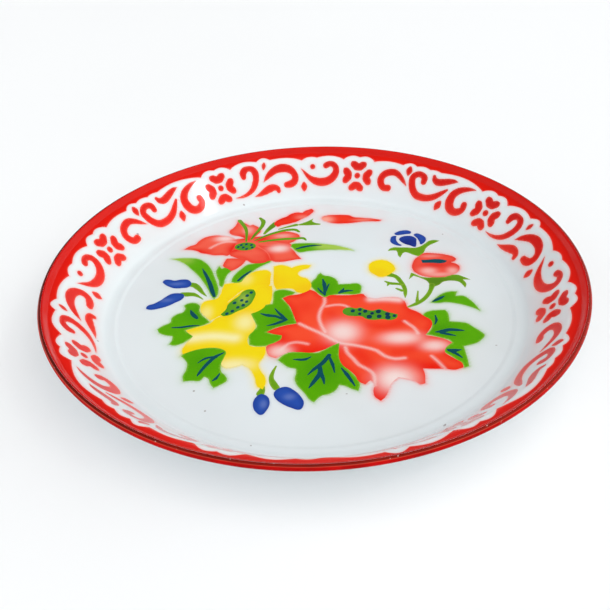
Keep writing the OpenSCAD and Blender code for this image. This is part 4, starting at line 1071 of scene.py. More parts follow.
def revolve(weave: Weave, rows: Array, values: Callable[[Array, Array, Array], dict[str, Array]],
            around: int = ROUND) -> None:
    """Turns a line of radius and height round the axis.

    Args:
        weave: Piece that takes the surface.
        rows: Radius and height of each row, face side to the left.
        values: Gives painted values from angle, radius and row number.
        around: Steps round.
    """
    a = np.linspace(0, 2 * math.pi, around, endpoint=False)
    has_axis = rows[0, 0] < 1e-6
    body = rows[1:] if has_axis else rows
    ang = np.tile(a, len(body))
    rad = np.repeat(body[:, 0], around)
    hgt = np.repeat(body[:, 1], around)
    idx = np.repeat(np.arange(len(body), dtype=float), around)
    pts = np.column_stack([rad * np.cos(ang), rad * np.sin(ang), hgt])
    painted = values(ang, rad, idx)
    faces: list[tuple[int, ...]] = []
    for i in range(len(body) - 1):
        for j in range(around):
            k = (j + 1) % around
            faces.append((i * around + j, (i + 1) * around + j,
                          (i + 1) * around + k, i * around + k))
    if has_axis:
        tip = len(pts)
        pts = np.vstack([pts, [0.0, 0.0, rows[0, 1]]])
        painted = {k: np.append(v, v[0]) for k, v in painted.items()}
        faces.extend((tip, j, (j + 1) % around) for j in range(around))
    weave.patch(pts, faces, painted)


@dataclass
class PressedDish:
    """The pressing with its coats: glazed face, back, ground coat and the red bead.

    Depths are counted into the sheet from the glazed face, and rings are the mesh's own spacing.
    """

    section: DishSection
    border: ScrollBorder
    flowers: FlowerSpray
    floor_ring: float = 1.85
    bend_ring: float = 0.6
    wall_ring: float = 0.9
    bend_end: float = 166.0
    wall_end: float = 189.0
    lip_rows: int = 28
    face_edge_turn: float = 52
    face_edge_tuck: float = 0.3
    back_face: float = 1.4
    back_inner: float = 1.15
    back_round: int = 360
    line_turns: tuple[float, float] = (44, 106)
    line_rows: int = 20
    bead_turns: tuple[float, float] = (96, 268)
    bead_rows: int = 40
    bead_edge_tuck: float = 0.25

    def build(self) -> None:
        """Builds every coat."""
        self.face()
        self.back()
        self.ground()
        self.bead()
        self.sheet()

    def face(self) -> None:
        """White cover coat of the face, with the haze that the border's spray left."""
        s = self.section
        floor = np.concatenate([[0.0], np.arange(2.0, s.floor_radius - 2, self.floor_ring)])
        low = np.arange(s.floor_radius - 1.5, self.bend_end, self.bend_ring)
        high = np.arange(self.bend_end, self.wall_end, self.wall_ring)
        edge = s.bead_arc(self.face_edge_turn)
        lip = np.linspace(float(s.arc_at_radius(self.wall_end)), edge, self.lip_rows)
        arcs = np.concatenate([floor, s.arc_at_radius(low), s.arc_at_radius(high), lip])
        rows = s.at(arcs)
        rows = np.vstack([rows, s.at(edge, -self.face_edge_tuck)])
        weave = Weave()

        def values(ang: Array, rad: Array, _row: Array) -> dict[str, Array]:
            """Haze on the wall and faint overspray on the floor."""
            xy = np.column_stack([rad * np.cos(ang), rad * np.sin(ang)])
            sprays = self.flowers.sprays(xy)
            sprays["haze"] = np.clip(sprays["haze"] + self.border.haze(ang, rad), 0, 1)
            return sprays

        revolve(weave, rows, values)
        weave.finish("face_enamel", WhiteEnamel("white enamel face").make(), "white_enamel",
                     ("face_white_coat",))

    def back(self) -> None:
        """White cover coat of the back, closed to the glaze's thickness."""
        s = self.section
        arcs = np.concatenate([[0.0], np.arange(30.0, s.floor_radius - 6, 24.0),
                               s.arc_at_radius(np.arange(s.floor_radius - 5, 162.0, 0.6)),
                               s.arc_at_radius(np.arange(163.0, 189.0, 3.0)),
                               np.linspace(float(s.arc_at_radius(189.5)), s.rise_end_arc - 2.6, 9)])
        under = s.at(arcs, -self.back_face)
        inner = s.at(arcs, -self.back_inner)
        weave = Weave()

        def clean(ang: Array, _rad: Array, _row: Array) -> dict[str, Array]:
            """No spray reached the back."""
            return {"haze": 0 * ang}

        revolve(weave, np.vstack([under[::-1][:-1], [[0.0, under[0, 1]]]])[::-1], clean,
                self.back_round)
        weave.faces = [tuple(reversed(f)) for f in weave.faces]
        revolve(weave, np.vstack([inner[-1:], under[-1:]]), clean, self.back_round)
        weave.finish("back_enamel", WhiteEnamel("white enamel back").make(), "white_enamel",
                     ("back_white_coat",))

    def ground(self) -> None:
        """Dark ground coat where it shows, along the crest of the bead."""
        s = self.section
        weave = Weave()
        first, last = self.line_turns
        arcs = np.linspace(s.bead_arc(first), s.bead_arc(last), self.line_rows)
        swell = -0.03 - 0.12 * np.abs(np.linspace(-1, 1, self.line_rows)) ** 8
        rows = np.vstack([s.at(a, float(w)) for a, w in zip(arcs, swell)])
        # painted light: the crest line's value rises towards the right of the tray
        revolve(weave, rows, lambda ang, _rad, _row: {"warm": 0.55 + 0.35 * np.cos(ang)})
        weave.finish("crest_ground_line", GroundEnamel("ground enamel").make(), "ground_enamel",
                     ("face_ground_coat",))

    def bead(self) -> None:
        """Red coat of the outer side of the bead, round to where the sheet curls in."""
        s = self.section
        weave = Weave()
        first, last = self.bead_turns
        arcs = np.linspace(s.bead_arc(first), s.bead_arc(last), self.bead_rows)
        rows = np.vstack([s.at(arcs), s.at(arcs[-1:], -self.bead_edge_tuck)])
        rng = np.random.default_rng(11)
        phases = rng.uniform(0, 2 * math.pi, 9)

        def values(ang: Array, _rad: Array, row: Array) -> dict[str, Array]:
            """Burnt edge near the crest, deeper in some stretches than others and on the left as
            painted shade.
            """
            sway = sum(math.sin(1.3 * k) * np.sin(k * ang + phases[k - 1]) / k
                       for k in range(1, 10))
            left = 0.5 - 0.5 * np.cos(ang)
            # painted shade: the burn is heavier on the left of the tray
            burn = np.exp(-((row / 2.4) ** 2)) * (0.3 + 0.25 * left + 0.2 * sway)
            wear = np.clip(0.35 + 0.5 * sway, 0, 1) * np.exp(-((row - 3) / 9) ** 2)
            # painted highlight: the pale thin strip beside the crest, fainter on the left
            thin = np.exp(-((row / 2.2) ** 2)) * np.clip(0.25 - 0.1 * left - 0.2 * sway, 0, 0.4)
            return {"burn": burn, "wear": wear, "thin": thin}

        revolve(weave, rows, values)
        weave.finish("bead_red", RimRed("bead red enamel").make(), "bead_red", ("bead_red_coat",))

    def sheet(self) -> None:
        """Finishes for the steel and the back's ground coat, whose CAD shapes stay."""
        for node, finish in (("pressed_sheet", BareSteel("pressed steel")),
                             ("back_ground_coat", GroundEnamel("ground enamel back"))):
            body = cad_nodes()[node]
            material = finish.make()
            for slot in body.material_slots:
                slot.material = material
            log.info("%s: CAD shape, new finish", node)


NODES: dict[str, bpy.types.Object] = {}


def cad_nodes() -> dict[str, bpy.types.Object]:
    """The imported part's own objects, by node."""
    return NODES


# ------------------------------------------------------------------------------ the border


class Stretch(Enum):
    """The two kinds of scroll work that take turns between florets."""

    HOOK_AND_ARCH = 0
    C_AND_S = 1


@dataclass
class ScrollBorder:
    """Red stencilled border: scalloped rim band, florets, scrolls, leaves and dots."""

    section: DishSection
    first_floret: float = 28.7
    pitch: float = 45.0
    lift: float = 0.035
    red: FiredEnamel = FiredEnamel("border red enamel", (230, 27, 8), (192, 8, 5),
                                   pale=(250, 150, 130), grain=0.3, mottle=0.09)
    trace: Trace = field(init=False)

    def __post_init__(self) -> None:
        """Traces every edge of the border for the haze beside it."""
        s = self.section
        edge = self.band_edge()
        r = s.border_radius + s.wall_lean * edge[:, 1]
        plans = [np.column_stack([r * np.cos(edge[:, 0]), r * np.sin(edge[:, 0])])]
        plans += [s.plan(uv, start) for rows in self.motifs().values() for uv, start in rows]
        self.trace = Trace([s.on_dish(xy, 0.0) for xy in plans])

    def starts(self, kind: Stretch) -> list[float]:
        """Directions where a kind of stretch begins."""
        return [self.first_floret - self.pitch * (2 * q + kind.value) for q in range(4)]

    def scallop(self, kind: Stretch) -> Array:
        """Edge of the rim band over one stretch, as rows of u and v."""
        rows = SCALLOPS[kind.value]
        out = []
        for (u0, v0, swell), (u1, v1, _) in zip(rows, rows[1:]):
            t = np.linspace(0, 1, max(6, int((u1 - u0) / 1.1)), endpoint=False)
            out.append(np.column_stack([u0 + (u1 - u0) * t,
                                        v0 + (v1 - v0) * t + swell * np.sin(np.pi * t)]))
        return np.vstack(out)

    def band_edge(self) -> Array:
        """Whole edge of the rim band, as rows of direction in radians and v."""
        per_mm = 180 / (math.pi * self.section.border_radius)
        rows = []
        for q in range(4):
            for kind in Stretch:
                uv = self.scallop(kind)
                start = self.starts(kind)[q]
                ang = self.section.crept(np.radians(start - uv[:, 0] * per_mm))
                rows.append(np.column_stack([ang, uv[:, 1]]))
        return np.vstack(rows)

    def haze(self, ang: Array, rad: Array) -> Array:
        """Pink haze that the stencil spray left on the white, towards the floor.

        Args:
            ang: Directions in radians.
            rad: Plan radii.

        Returns:
            Strength of the haze.
        """
        _, v = self.section.border_uv(ang, rad, self.first_floret, self.pitch)
        near = 0.5 - 0.5 * np.sin(ang)
        low = np.exp(-(((v + 9) / 8) ** 2)) * (0.04 + 0.22 * near**2)
        sway = 0.75 + 0.25 * np.sin(5 * ang + 1.0) * np.sin(11 * ang)
        out = np.zeros(len(ang))
        wall = rad > 158
        spots = self.section.on_dish(
            np.column_stack([rad * np.cos(ang), rad * np.sin(ang)])[wall], 0.0)
        away, beyond = self.trace.nearest(spots)
        side = 0.75 + 0.25 * np.clip(beyond / 1.5, -1, 1)
        halo = side * (0.45 * np.exp(-((away / 0.9) ** 2)) + 0.06 * np.exp(-((away / 3) ** 2)))
        out[wall] = halo + (low * sway)[wall]
        return np.clip(out, 0, 0.7)

    def build(self) -> None:
        """Builds every piece of the border."""
        material = self.red.make()
        self.band(material)
        for name, shapes in self.motifs().items():
            weave = Weave()
            for outline, start in shapes:
                self.motif(weave, outline, start)
            weave.finish(name, material, "border_red", (name,))

    def band(self, material: bpy.types.Material) -> None:
        """Rim band from its scalloped edge up to the crest of the bead."""
        s = self.section
        edge = self.band_edge()
        edge_r = s.border_radius + s.wall_lean * edge[:, 1]
        start = s.arc_at_radius(edge_r)
        end = s.bead_arc(51)
        share = np.concatenate([[0.0, 0.02, 0.06], np.linspace(0.12, 1, 30)])
        count, rows = len(edge), len(share)
        points = np.zeros((rows + 2, count, 3))
        deep = np.zeros((rows + 2, count))
        pale = np.zeros((rows + 2, count))
        for k in range(rows + 2):
            f = share[min(max(k - 1, 0), rows - 1)]
            lift = self.lift if 0 < k <= rows else -0.05
            rz = s.at(start + (end - start) * f, lift)
            points[k] = np.column_stack([rz[:, 0] * np.cos(edge[:, 0]),
                                         rz[:, 0] * np.sin(edge[:, 0]), rz[:, 1]])
            # painted shade: besides deepening towards the lip, the band deepens over the top of the
            # bead on the near side
            near = 0.5 - 0.5 * np.sin(edge[:, 0])
            deep[k] = (0.15 + 0.35 * np.clip((rz[:, 0] - 186) / 8, 0, 1)
                       + near * np.clip((rz[:, 0] - 195.5) / 2, 0, 1))
            pale[k] = 0.25 * math.exp(-((f / 0.05) ** 2))
        faces = []
        for k in range(rows + 1):
            for j in range(count):
                m = (j + 1) % count
                faces.append((k * count + m, (k + 1) * count + m,
                              (k + 1) * count + j, k * count + j))
        weave = Weave()
        weave.patch(points.reshape(-1, 3), faces,
                    {"deep": deep.ravel(), "pale": pale.ravel()})
        weave.finish("rim_band", material, "border_red", ("rim_band",))

    def shade(self, uv: Array, xy: Array) -> dict[str, Array]:
        """Spray of a motif: thinner towards the floor; its deeper red to the right is painted
        shade.

        Args:
            uv: Developed points.
            xy: The same in plan.

        Returns:
            Painted values.
        """
        ang = np.arctan2(xy[:, 1], xy[:, 0])
        near = 0.5 - 0.5 * np.sin(ang)
        thin = np.clip((-uv[:, 1] - 2) / 14, 0, 1)
        # painted shade: deeper red towards the right-hand wall, lighter towards the left-hand one
        return {"deep": np.clip(0.25 + 0.02 * uv[:, 1] + 0.35 * np.cos(ang) * (1 - near), 0, 1),
                "pale": thin * (0.04 + 0.12 * near**2)}

    def motif(self, weave: Weave, outline: Array, start: float) -> None:
        """Adds one motif, given by its developed outline, to a piece."""
        s = self.section
        flat, faces = fill_outline(outline, 1.7)
        # u runs clockwise, so the developed net turns over when it is laid on the wall
        faces = [tuple(reversed(f)) for f in faces]
        xy = s.plan(flat, start)
        values = self.shade(flat, xy)
        values["pale"] += 0.25 * np.exp(-((edge_distance(flat, outline) / 0.6) ** 2))
        points, shell = plate(s.on_dish, xy, faces, self.lift, -0.03)
        weave.patch(points, shell, {k: np.tile(v, 2) for k, v in values.items()})

    def motifs(self) -> dict[str, list[tuple[Array, float]]]:
        """Sets out the border: florets, scroll strokes, and leaves, diamonds and dots.

        Returns:
            Developed outlines and where each stretch starts, by piece.
        """
        half = smooth_path(PETAL_HALF, False, 0.8, 70.0)
        petal = np.vstack([half, (half * [1, -1])[-2:0:-1]])
        floret = [petal @ np.array([[c, w], [-w, c]], dtype=float)
                  for c, w in ((1, 0), (0, 1), (-1, 0), (0, -1))]
        floret.append(round_outline(0, 0.5, 2.9, 2.9))
        scrolls = {Stretch.HOOK_AND_ARCH: (SCROLL_HOOK, SCROLL_ARCH, SCROLL_SMILE),
                   Stretch.C_AND_S: (SCROLL_C, SCROLL_S, SCROLL_G)}
        leaves = {
            Stretch.HOOK_AND_ARCH: [stroke_outline(LEAF_COMMA_IN, 1.1),
                                    diamond_outline(47, 12.8, 2, 4, -15),
                                    diamond_outline(84.8, -11, 3.3, 4.8, 0),
                                    round_outline(94.2, 8.2, 2.6, 2.6)],
            Stretch.C_AND_S: [stroke_outline(LEAF_COMMA_OUT, 1.1),
                              diamond_outline(49.3, 12.3, 3, 5, 0),
                              diamond_outline(89, -11.3, 3.5, 5.2, -15)],
        }
        out: dict[str, list[tuple[Array, float]]] = {}
        for kind in Stretch:
            strokes = [stroke_outline(p, 1.1) for p in scrolls[kind]]
            for name, outlines in (("border_florets", floret), ("border_scrolls", strokes),
                                   ("border_leaves", leaves[kind])):
                out.setdefault(name, []).extend(
                    (outline, start) for outline in outlines for start in self.starts(kind))
        return out


# ------------------------------------------------------------------------------ the flowers


@dataclass(frozen=True)
class Coat:
    """One sprayed colour of the flowers: its shapes and how the airbrush shaded them."""

    name: str
    finish: FiredEnamel
    slot: str
    lift: float
    loops: tuple[Outline, ...] = ()
    strokes: tuple[Outline, ...] = ()
    pale: tuple[Spray, ...] = ()
    deep: tuple[Spray, ...] = ()
    edge_deep: float = 0.0
    edge_width: float = 3.0
    base_deep: float = 0.1
    soft: float = 0.0
    corner: float = 62.0
    halo: str = ""
    replaces: tuple[str, ...] = ()

    def outlines(self) -> list[Array]:
        """Smooth outlines of every shape in the coat."""
        return ([smooth_path(p, True, 1.2, self.corner)[:, :2] for p in self.loops]
                + [stroke_outline(p, 1.0) for p in self.strokes])


class FlowerSpray:
    """The spray on the floor: lily, peonies, poppy, blue flower, buds, leaves and stems."""

    def __init__(self, section: DishSection) -> None:
        """Keeps the section and sets out the coats."""
        self.section = section
        self.coats = flower_coats()

    def build(self) -> None:
        """Builds each coat as one piece."""
        for coat in self.coats:
            self.lay(coat)

    def lay(self, coat: Coat) -> None:
        """Lays one coat on the floor.

        Args:
            coat: The coat to lay.
        """
        weave = Weave()
        for k, outline in enumerate(coat.outlines()):
            flat, faces = fill_outline(outline, 1.6)
            away = edge_distance(flat, outline)
            deep = (coat.base_deep + coat.edge_deep * np.exp(-((away / coat.edge_width) ** 2))
                    + spray_at(coat.deep, flat))
            pale = spray_at(coat.pale, flat) + coat.soft * np.exp(-((away / 0.6) ** 2))
            values = {"deep": np.clip(deep, 0, 1), "pale": np.clip(pale, 0, 1)}
            # each shape lies a hair over the one before it, so that none share a surface
            top = coat.lift + 0.0015 * k
            points, shell = plate(self.section.on_floor, flat, faces, top, -0.02)
            weave.patch(points, shell, {k: np.tile(v, 2) for k, v in values.items()})
        weave.finish(coat.name, coat.finish.make(), coat.slot, coat.replaces)

    def sprays(self, xy: Array) -> dict[str, Array]:
        """Colour that the airbrush left on the white beside the shapes.

        Args:
            xy: Plan points.

        Returns:
            Strength of each sprayed colour.
        """
        faint = {"haze": RED_HAZE, "leaf": GREEN_HAZE}
        strength = {"haze": (0.5, 0.14), "leaf": (0.5, 0.12), "yellow": (0.6, 0.25),
                    "blue": (0.2, 0.02)}
        out = {}
        for name in strength:
            lines = [o for c in self.coats if c.halo == name for o in c.outlines()]
            trace = Trace([np.column_stack([o, np.zeros(len(o))]) for o in lines])
            away, _ = trace.nearest(np.column_stack([xy, np.zeros(len(xy))]))
            close, wide = strength[name]
            out[name] = (close * np.exp(-((away / 1.1) ** 2)) + wide * np.exp(-((away / 4) ** 2))
                         + spray_at(faint.get(name, ()), xy))
        return out


# Rows [u, v, outward swell to the next row] of the rim band's edge, one table for each stretch
SCALLOPS: tuple[Outline, Outline] = (
    [(-14.675, 15.5, 4.5), (0, 20.1, 4.5), (14.5, 15.2, 5.4), (41, 18.9, 5.5), (54, 19.1, 3),
     (84, 14.6, 2.8), (98.5, 17.4, 4.2), (124.025, 15.5, 0)],
    [(-14.675, 15.5, 4.5), (0, 20.1, 4.5), (14.5, 15.4, 2.5), (42, 16.6, 4.5), (55, 18.6, 2.4),
     (68, 18.4, 1.5), (79, 18.6, 5.4), (124.025, 15.5, 0)],
)

RED_HAZE: tuple[Spray, ...] = (
    Puff(101, 40, 27, 25, 0.12), Puff(84, 82, 24, 22, 0.06), Puff(-62, 88, 62, 38, 0.07),
    Puff(38, -48, 72, 62, 0.08), Puff(-5, 126, 60, 18, 0.06),
)
GREEN_HAZE: tuple[Spray, ...] = (
    Puff(-92, 40, 30, 38, 0.05), Puff(-98, -28, 26, 32, 0.05), Puff(-80, -74, 26, 26, 0.05),
    Puff(2, -84, 34, 34, 0.05), Puff(100, -45, 34, 40, 0.05), Puff(90, 8, 34, 30, 0.05),
)


def flower_coats() -> list[Coat]:
    """Sets out every coat of the spray, from the first sprayed to the last brushed.

    Returns:
        The coats in their order on the tray.
    """
    leaf = FiredEnamel("leaf green enamel", (92, 172, 0), (52, 132, 4), pale=(206, 222, 110))
    stem = FiredEnamel("stem green enamel", (102, 156, 22), (74, 114, 22), pale=(206, 214, 90))
    yellow = FiredEnamel("yellow enamel", (237, 214, 16), (236, 178, 14), pale=(242, 238, 190))
    red = FiredEnamel("peony red enamel", (242, 78, 46), (230, 30, 10), pale=(240, 224, 220),
                      grain=0.4)
    pink = FiredEnamel("lily red enamel", (238, 98, 76), (226, 36, 20), pale=(240, 222, 218),
                       grain=0.4)
    bud = FiredEnamel("bud red enamel", (240, 54, 26), (214, 20, 10), pale=(246, 180, 160))
    poppy = FiredEnamel("poppy red enamel", (236, 80, 62), (214, 26, 20), pale=(246, 200, 192))
    blue = FiredEnamel("blue enamel", (40, 80, 172), (22, 38, 122), pale=(150, 170, 214))
    seed = FiredEnamel("seed head enamel", (94, 156, 22), (50, 130, 40), pale=(218, 222, 110))
    brush = FiredEnamel("dark brush enamel", (8, 76, 88), (6, 42, 72), mottle=0.14)
    return [
        Coat("leaves", leaf, "leaf_green", 0.02, loops=(*BLADES, *LOBED_LEAVES),
             edge_deep=0.1, base_deep=0.15, soft=0.25, halo="leaf",
             deep=(Puff(-90, -12, 14, 14, 0.4), Puff(-82, -72, 12, 14, 0.35),
                   Puff(2, -84, 16, 18, 0.4), Puff(-28, -25, 12, 14, 0.4),
                   Puff(8, 12, 9, 12, 0.4), Puff(95, -46, 12, 10, 0.4),
                   Puff(98, -5, 12, 6, 0.4)),
             pale=(Sweep(((8, 76), (26, 72), (38, 67)), 6, 0.5),
                   Sweep(((-122, 65), (-108, 62)), 6, 0.3)),
             replaces=("leaves",)),
        Coat("stems_and_calyxes", stem, "olive_green", 0.07, soft=0.2,
             loops=(BUD_CALYX, POPPY_CALYX, BLUE_CALYX),
             strokes=(*BUD_STEMS, *YELLOW_BUD_STEMS, *POPPY_STEMS, *BLUE_BUD_STEMS),
             deep=(Puff(100, 17, 14, 8, 0.6), Puff(-36, 112, 8, 10, 0.5)),
             replaces=("stems_and_calyxes",)),
        Coat("yellow_petals", yellow, "flower_yellow", 0.095, halo="yellow",
             loops=(YELLOW_BASE, YELLOW_TOP, YELLOW_BACK, YELLOW_SIDE, YELLOW_FRONT, YELLOW_BUD),
             edge_deep=0.12, base_deep=0.05,
             deep=(Puff(-30, 26, 14, 12, 0.35), Puff(-8, 14, 9, 9, 0.5),
                   Puff(56, 32, 8, 8, 0.35), Puff(-60, -8, 12, 14, 0.25)),
             pale=(Sweep(((-94, -44), (-76, -42), (-60, -45)), 5, 0.75),
                   Puff(-53, -27, 8, 10, 0.6), Puff(-58, -75, 14, 7, 0.7),
                   Puff(-84, -14, 5, 9, 0.4), Puff(-56, 30, 6, 8, 0.3)),
             replaces=("yellow_petals",)),
        Coat("peony_petals", red, "flower_red", 0.11, halo="haze", loops=(PEONY,), edge_deep=0.55,
             edge_width=4.5, base_deep=0.12,
             deep=(Sweep(((-20, -55), (-4, -58), (12, -52)), 7, 0.5),
                   Sweep(((30, -66), (36, -78), (44, -92), (42, -108)), 7, 0.55),
                   Sweep(((56, -80), (70, -80), (80, -82)), 6, 0.5),
                   Sweep(((74, -62), (66, -66), (56, -68)), 5, 0.4),
                   Sweep(((40, -36), (52, -38), (64, -34)), 4.5, 0.45),
                   Sweep(((12, -20), (16, -30), (14, -44)), 5, 0.35),
                   Puff(-8, -10, 9, 12, 0.3), Puff(72, -28, 8, 8, 0.4)),
             pale=(Puff(20, -43, 13, 13, 0.85), Puff(62, -52, 15, 7, 0.8),
                   Puff(85, -62, 10, 6, 0.75), Puff(53, -95, 14, 13, 0.95),
                   Puff(-26, -62, 9, 7, 0.7),
                   Sweep(((44, -4), (56, -4), (66, -6)), 3.5, 0.75),
                   Sweep(((8, 0), (8, -6), (5, -14), (3, -24), (5, -36), (7, -42)), 1.2, 0.6),
                   Sweep(((9, -11), (16, -9.5), (23, -10.5), (26, -13)), 1.1, 0.55),
                   Sweep(((-12, -31), (-6, -36), (2, -42), (10, -49), (17, -55), (27, -58),
                          (35, -61), (43, -65), (48, -71), (55, -74.5), (62, -74)), 1.3, 0.62),
                   Sweep(((21, -60), (22, -66), (26, -73), (29, -79), (34, -83.5), (38, -88),
                          (39, -94), (38, -100)), 1.2, 0.6),
                   Sweep(((81, -73), (85, -80), (88, -87)), 1.2, 0.55),
                   Sweep(((67, -33), (70, -37), (73, -41), (75, -48)), 1.2, 0.6),
                   Sweep(((-25, -60), (-20, -54), (-14, -52.5), (-6, -55)), 1.2, 0.5)),
             replaces=("peony_petals",)),
        Coat("lily_petals", pink, "pink_red", 0.11, halo="haze",
             loops=(LILY_BASE, LILY_LEFT, LILY_TOP, LILY_RIGHT, LILY_LOW, LILY_FRONT, LILY_SMALL),
             edge_deep=0.5, edge_width=3.5, base_deep=0.1,
             deep=(Puff(-70, 78, 8, 8, 0.5), Puff(-60, 98, 7, 8, 0.4), Puff(-45, 60, 10, 8, 0.3),
                   Puff(-96, 76, 12, 5, 0.4), Puff(-44, 92, 7, 5, 0.5)),
             pale=(Puff(-78, 95, 9, 5, 0.85), Puff(-29, 75, 9, 6, 0.8),
                   Puff(-58, 108, 5, 7, 0.4), Puff(-26, 96, 8, 3.5, 0.35),
                   Sweep(((-90, 80), (-84, 86), (-76, 89.5), (-69, 88.5)), 1.3, 0.5)),
             replaces=("lily_petals",)),
        Coat("lily_buds", bud, "flower_red", 0.11, halo="haze", loops=(BUD_LEFT, BUD_RIGHT),
             edge_deep=0.4,
             deep=(Puff(-20, 128, 10, 5, 0.4),),
             pale=(Puff(-8, 128, 7, 4, 0.35), Puff(48, 119, 10, 3, 0.35),
                   Puff(13, 122, 8, 7, 0.8)),
             replaces=("lily_buds",)),
        Coat("poppy_petals", poppy, "flower_red", 0.11, halo="haze", loops=(POPPY,), edge_deep=0.35,
             pale=(Puff(95, 32, 7, 5, 0.7), Puff(115, 31, 5, 5, 0.6), Puff(104, 26, 12, 3, 0.5),
                   Puff(100, 54, 9, 2.5, 0.3)),
             deep=(Puff(103, 40, 12, 5, 0.6),), replaces=("poppy_petals",)),
        Coat("blue_petals", blue, "flower_blue", 0.11, corner=180.0, halo="blue",
             loops=(BLUE_TOP, BLUE_LEFT, BLUE_RIGHT, BLUE_HEART, *BLUE_BUDS), edge_deep=0.35,
             edge_width=2.5,
             deep=(Puff(85, 78, 8, 9, 0.8),),
             pale=(Puff(-112, 27, 6, 2, 0.2), Puff(-118, 5, 6, 2.5, 0.2),
                   Puff(-36, -114, 2.5, 4, 0.25), Puff(-19, -108, 4, 3, 0.25)),
             replaces=("blue_petals",)),
        Coat("seed_heads", seed, "light_green", 0.13,
             loops=(LILY_HEART, YELLOW_HEART, PEONY_HEART), edge_deep=0.2,
             deep=(Puff(42, -22, 20, 6, 0.5), Puff(-60, 80, 8, 6, 0.4)),
             pale=(Puff(-56, 3, 5, 8, 0.3),), replaces=("seed_heads",)),
        Coat("lily_stamens", stem, "olive_green", 0.14, strokes=tuple(LILY_STAMENS),
             deep=(Puff(-50, 96, 16, 10, 0.4),)),
        Coat("leaf_veins", brush, "dark_blue", 0.15, strokes=tuple(VEINS),
             replaces=("leaf_veins",)),
        Coat("seed_dots", brush, "dark_blue", 0.2, loops=(POPPY_SLIT,),
             strokes=tuple([(x, y - 0.4, r), (x + 0.3, y + 0.4, r)] for x, y, r in DARK_DOTS),
             deep=(Puff(46, -22, 24, 8, 0.7),), replaces=("seed_dots",)),
    ]


# ------------------------------------------------------------------------------ studio


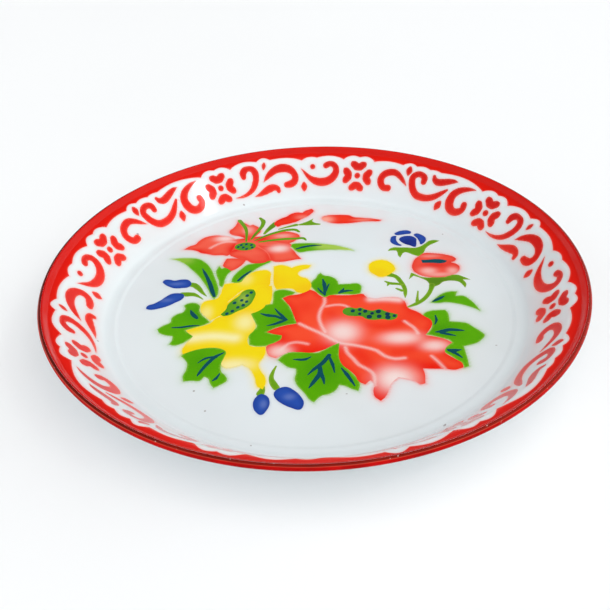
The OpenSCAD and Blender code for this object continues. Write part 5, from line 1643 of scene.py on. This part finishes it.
@dataclass
class Studio:
    """Pale table and background, soft lights and the camera."""

    distance: float = 542.0
    elevation: float = 36.71
    roll: float = -2.2
    lens: float = 40.53
    shift_x: float = -0.0153
    shift_y: float = -0.0107
    ambience: float = 1.0
    lamp_watts: float = 1.6
    bright_side: tuple[float, float, float] = (0.6, -0.1, 0.79)
    dark_side: tuple[float, float, float] = (-0.2, 0.76, 0.62)
    table_flat: float = 5.0
    table_curl: float = 1.0
    table_round: int = 96

    def build(self) -> None:
        """Builds the whole studio."""
        self.table()
        self.lights()
        self.camera()

    def table(self) -> None:
        """One broad round sheet that curls up far away."""
        flat, curl, around = self.table_flat, self.table_curl, self.table_round
        rows = [(0.0, 0.0), (2.0, 0.0), (flat, 0.0)]
        rows += [(flat + curl * math.sin(t), curl - curl * math.cos(t))
                 for t in np.radians(np.arange(15, 91, 15))]
        points = [(0.0, 0.0, 0.0)]
        for r, z in rows[1:]:
            points += [(r * math.cos(a), r * math.sin(a), z)
                       for a in np.linspace(0, 2 * math.pi, around, endpoint=False)]
        faces = [(0, 1 + j, 1 + (j + 1) % around) for j in range(around)]
        for i in range(len(rows) - 2):
            low = 1 + i * around
            faces += [(low + j, low + around + j, low + around + (j + 1) % around,
                       low + (j + 1) % around) for j in range(around)]
        mesh = bpy.data.meshes.new("table")
        mesh.from_pydata(points, [], faces)
        mesh.shade_smooth()
        n = Nodes("pale table")
        n.link(n.blend(n.ramp(n.noise(0.9, 2.0), 0.3, 0.7), linear((243, 244, 245)),
                       linear((245, 246, 247))), n.shader.inputs["Base Color"])
        n.shader.inputs["Roughness"].default_value = 0.7
        n.shader.inputs["Specular IOR Level"].default_value = 0.15
        mesh.materials.append(n.material)
        sheet = bpy.data.objects.new("table", mesh)
        bpy.context.scene.collection.objects.link(sheet)

    def area(self, name: str, place: tuple[float, float, float], size: float, watts: float,
             colour: tuple[float, float, float] = (1.0, 1.0, 1.0)) -> None:
        """Adds one soft light that faces the tray.

        Args:
            name: Name of the light.
            place: Where it stands, in metres.
            size: Side of its panel.
            watts: Its power.
            colour: Its tint.
        """
        data = bpy.data.lights.new(name, "AREA")
        data.shape = "SQUARE"
        data.size = size
        data.energy = watts
        data.color = colour
        lamp = bpy.data.objects.new(name, data)
        lamp.location = place
        lamp.rotation_mode = "QUATERNION"
        lamp.rotation_quaternion = (Vector((0, 0, 0)) - Vector(place)).to_track_quat("-Z", "Y")
        bpy.context.scene.collection.objects.link(lamp)

    def lights(self) -> None:
        """Broad soft ceiling light, dim walls, pale horizon, and one small lamp for a glint."""
        self.area("lamp", (1.454, -0.502, 1.73), 0.15, self.lamp_watts)
        world = bpy.data.worlds.new("studio")
        world.use_nodes = True
        tree = world.node_tree
        back = tree.nodes["Background"]
        way = tree.nodes.new("ShaderNodeTexCoord").outputs["Generated"]

        def band(axis: tuple[float, float, float], low: float, high: float
                 ) -> bpy.types.NodeSocket:
            """Soft step in how far a direction leans towards an axis."""
            dot = tree.nodes.new("ShaderNodeVectorMath")
            dot.operation = "DOT_PRODUCT"
            dot.inputs[1].default_value = axis
            tree.links.new(way, dot.inputs[0])
            ramp = tree.nodes.new("ShaderNodeMapRange")
            ramp.interpolation_type = "SMOOTHSTEP"
            ramp.inputs["From Min"].default_value = low
            ramp.inputs["From Max"].default_value = high
            tree.links.new(dot.outputs["Value"], ramp.inputs["Value"])
            return ramp.outputs["Result"]

        def blend(fac: bpy.types.NodeSocket, low: object, high: object) -> bpy.types.NodeSocket:
            """Mixes two light colours, the first a fixed value or a socket."""
            mix = tree.nodes.new("ShaderNodeMix")
            mix.data_type = "RGBA"
            tree.links.new(fac, mix.inputs[0])
            for socket, value in ((mix.inputs[6], low), (mix.inputs[7], high)):
                if isinstance(value, bpy.types.NodeSocket):
                    tree.links.new(value, socket)
                else:
                    socket.default_value = (*value, 1.0)
            return mix.outputs[2]

        room = blend(band(self.bright_side, 0.1, 1.0), (0.98, 1.0, 1.02), (1.55, 1.55, 1.53))
        dim = blend(band(self.dark_side, 0.68, 0.94), room, (0.2, 0.2, 0.21))
        sky = blend(band((0, 0, -1), -0.2, -0.08), dim, (0.93, 0.94, 0.95))
        tree.links.new(sky, back.inputs["Color"])
        back.inputs["Strength"].default_value = self.ambience
        bpy.context.scene.world = world

    def camera(self) -> None:
        """Camera at the height and distance of someone standing over a table."""
        e = math.radians(self.elevation)
        aim = Vector((0.0, 0.0, SECTION.face_z * MM))
        data = bpy.data.cameras.new("camera")
        data.lens = self.lens
        data.sensor_width = 36.0
        data.shift_x = self.shift_x
        data.shift_y = self.shift_y
        data.clip_start = 0.01
        data.clip_end = 60.0
        eye = bpy.data.objects.new("camera", data)
        eye.location = aim + Vector((0, -math.cos(e), math.sin(e))) * self.distance * MM
        tilt = Euler((math.pi / 2 - e, 0, 0)).to_matrix()
        eye.rotation_euler = (tilt @ Matrix.Rotation(math.radians(self.roll), 3, "Z")).to_euler()
        bpy.context.scene.collection.objects.link(eye)
        bpy.context.scene.camera = eye


def save_sizes() -> None:
    """Updates the view layer.
    """
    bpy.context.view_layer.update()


def main() -> None:
    """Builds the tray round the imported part."""
    logging.basicConfig(level=logging.INFO, format="%(name)s: %(message)s")
    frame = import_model()
    NODES.update(frame["nodes"])
    border = ScrollBorder(SECTION)
    flowers = FlowerSpray(SECTION)
    PressedDish(SECTION, border, flowers).build()
    border.build()
    flowers.build()
    Studio().build()
    view = bpy.context.scene.view_settings
    view.view_transform = "Standard"
    view.look = "None"
    save_sizes()


if __name__ == "__main__":
    main()
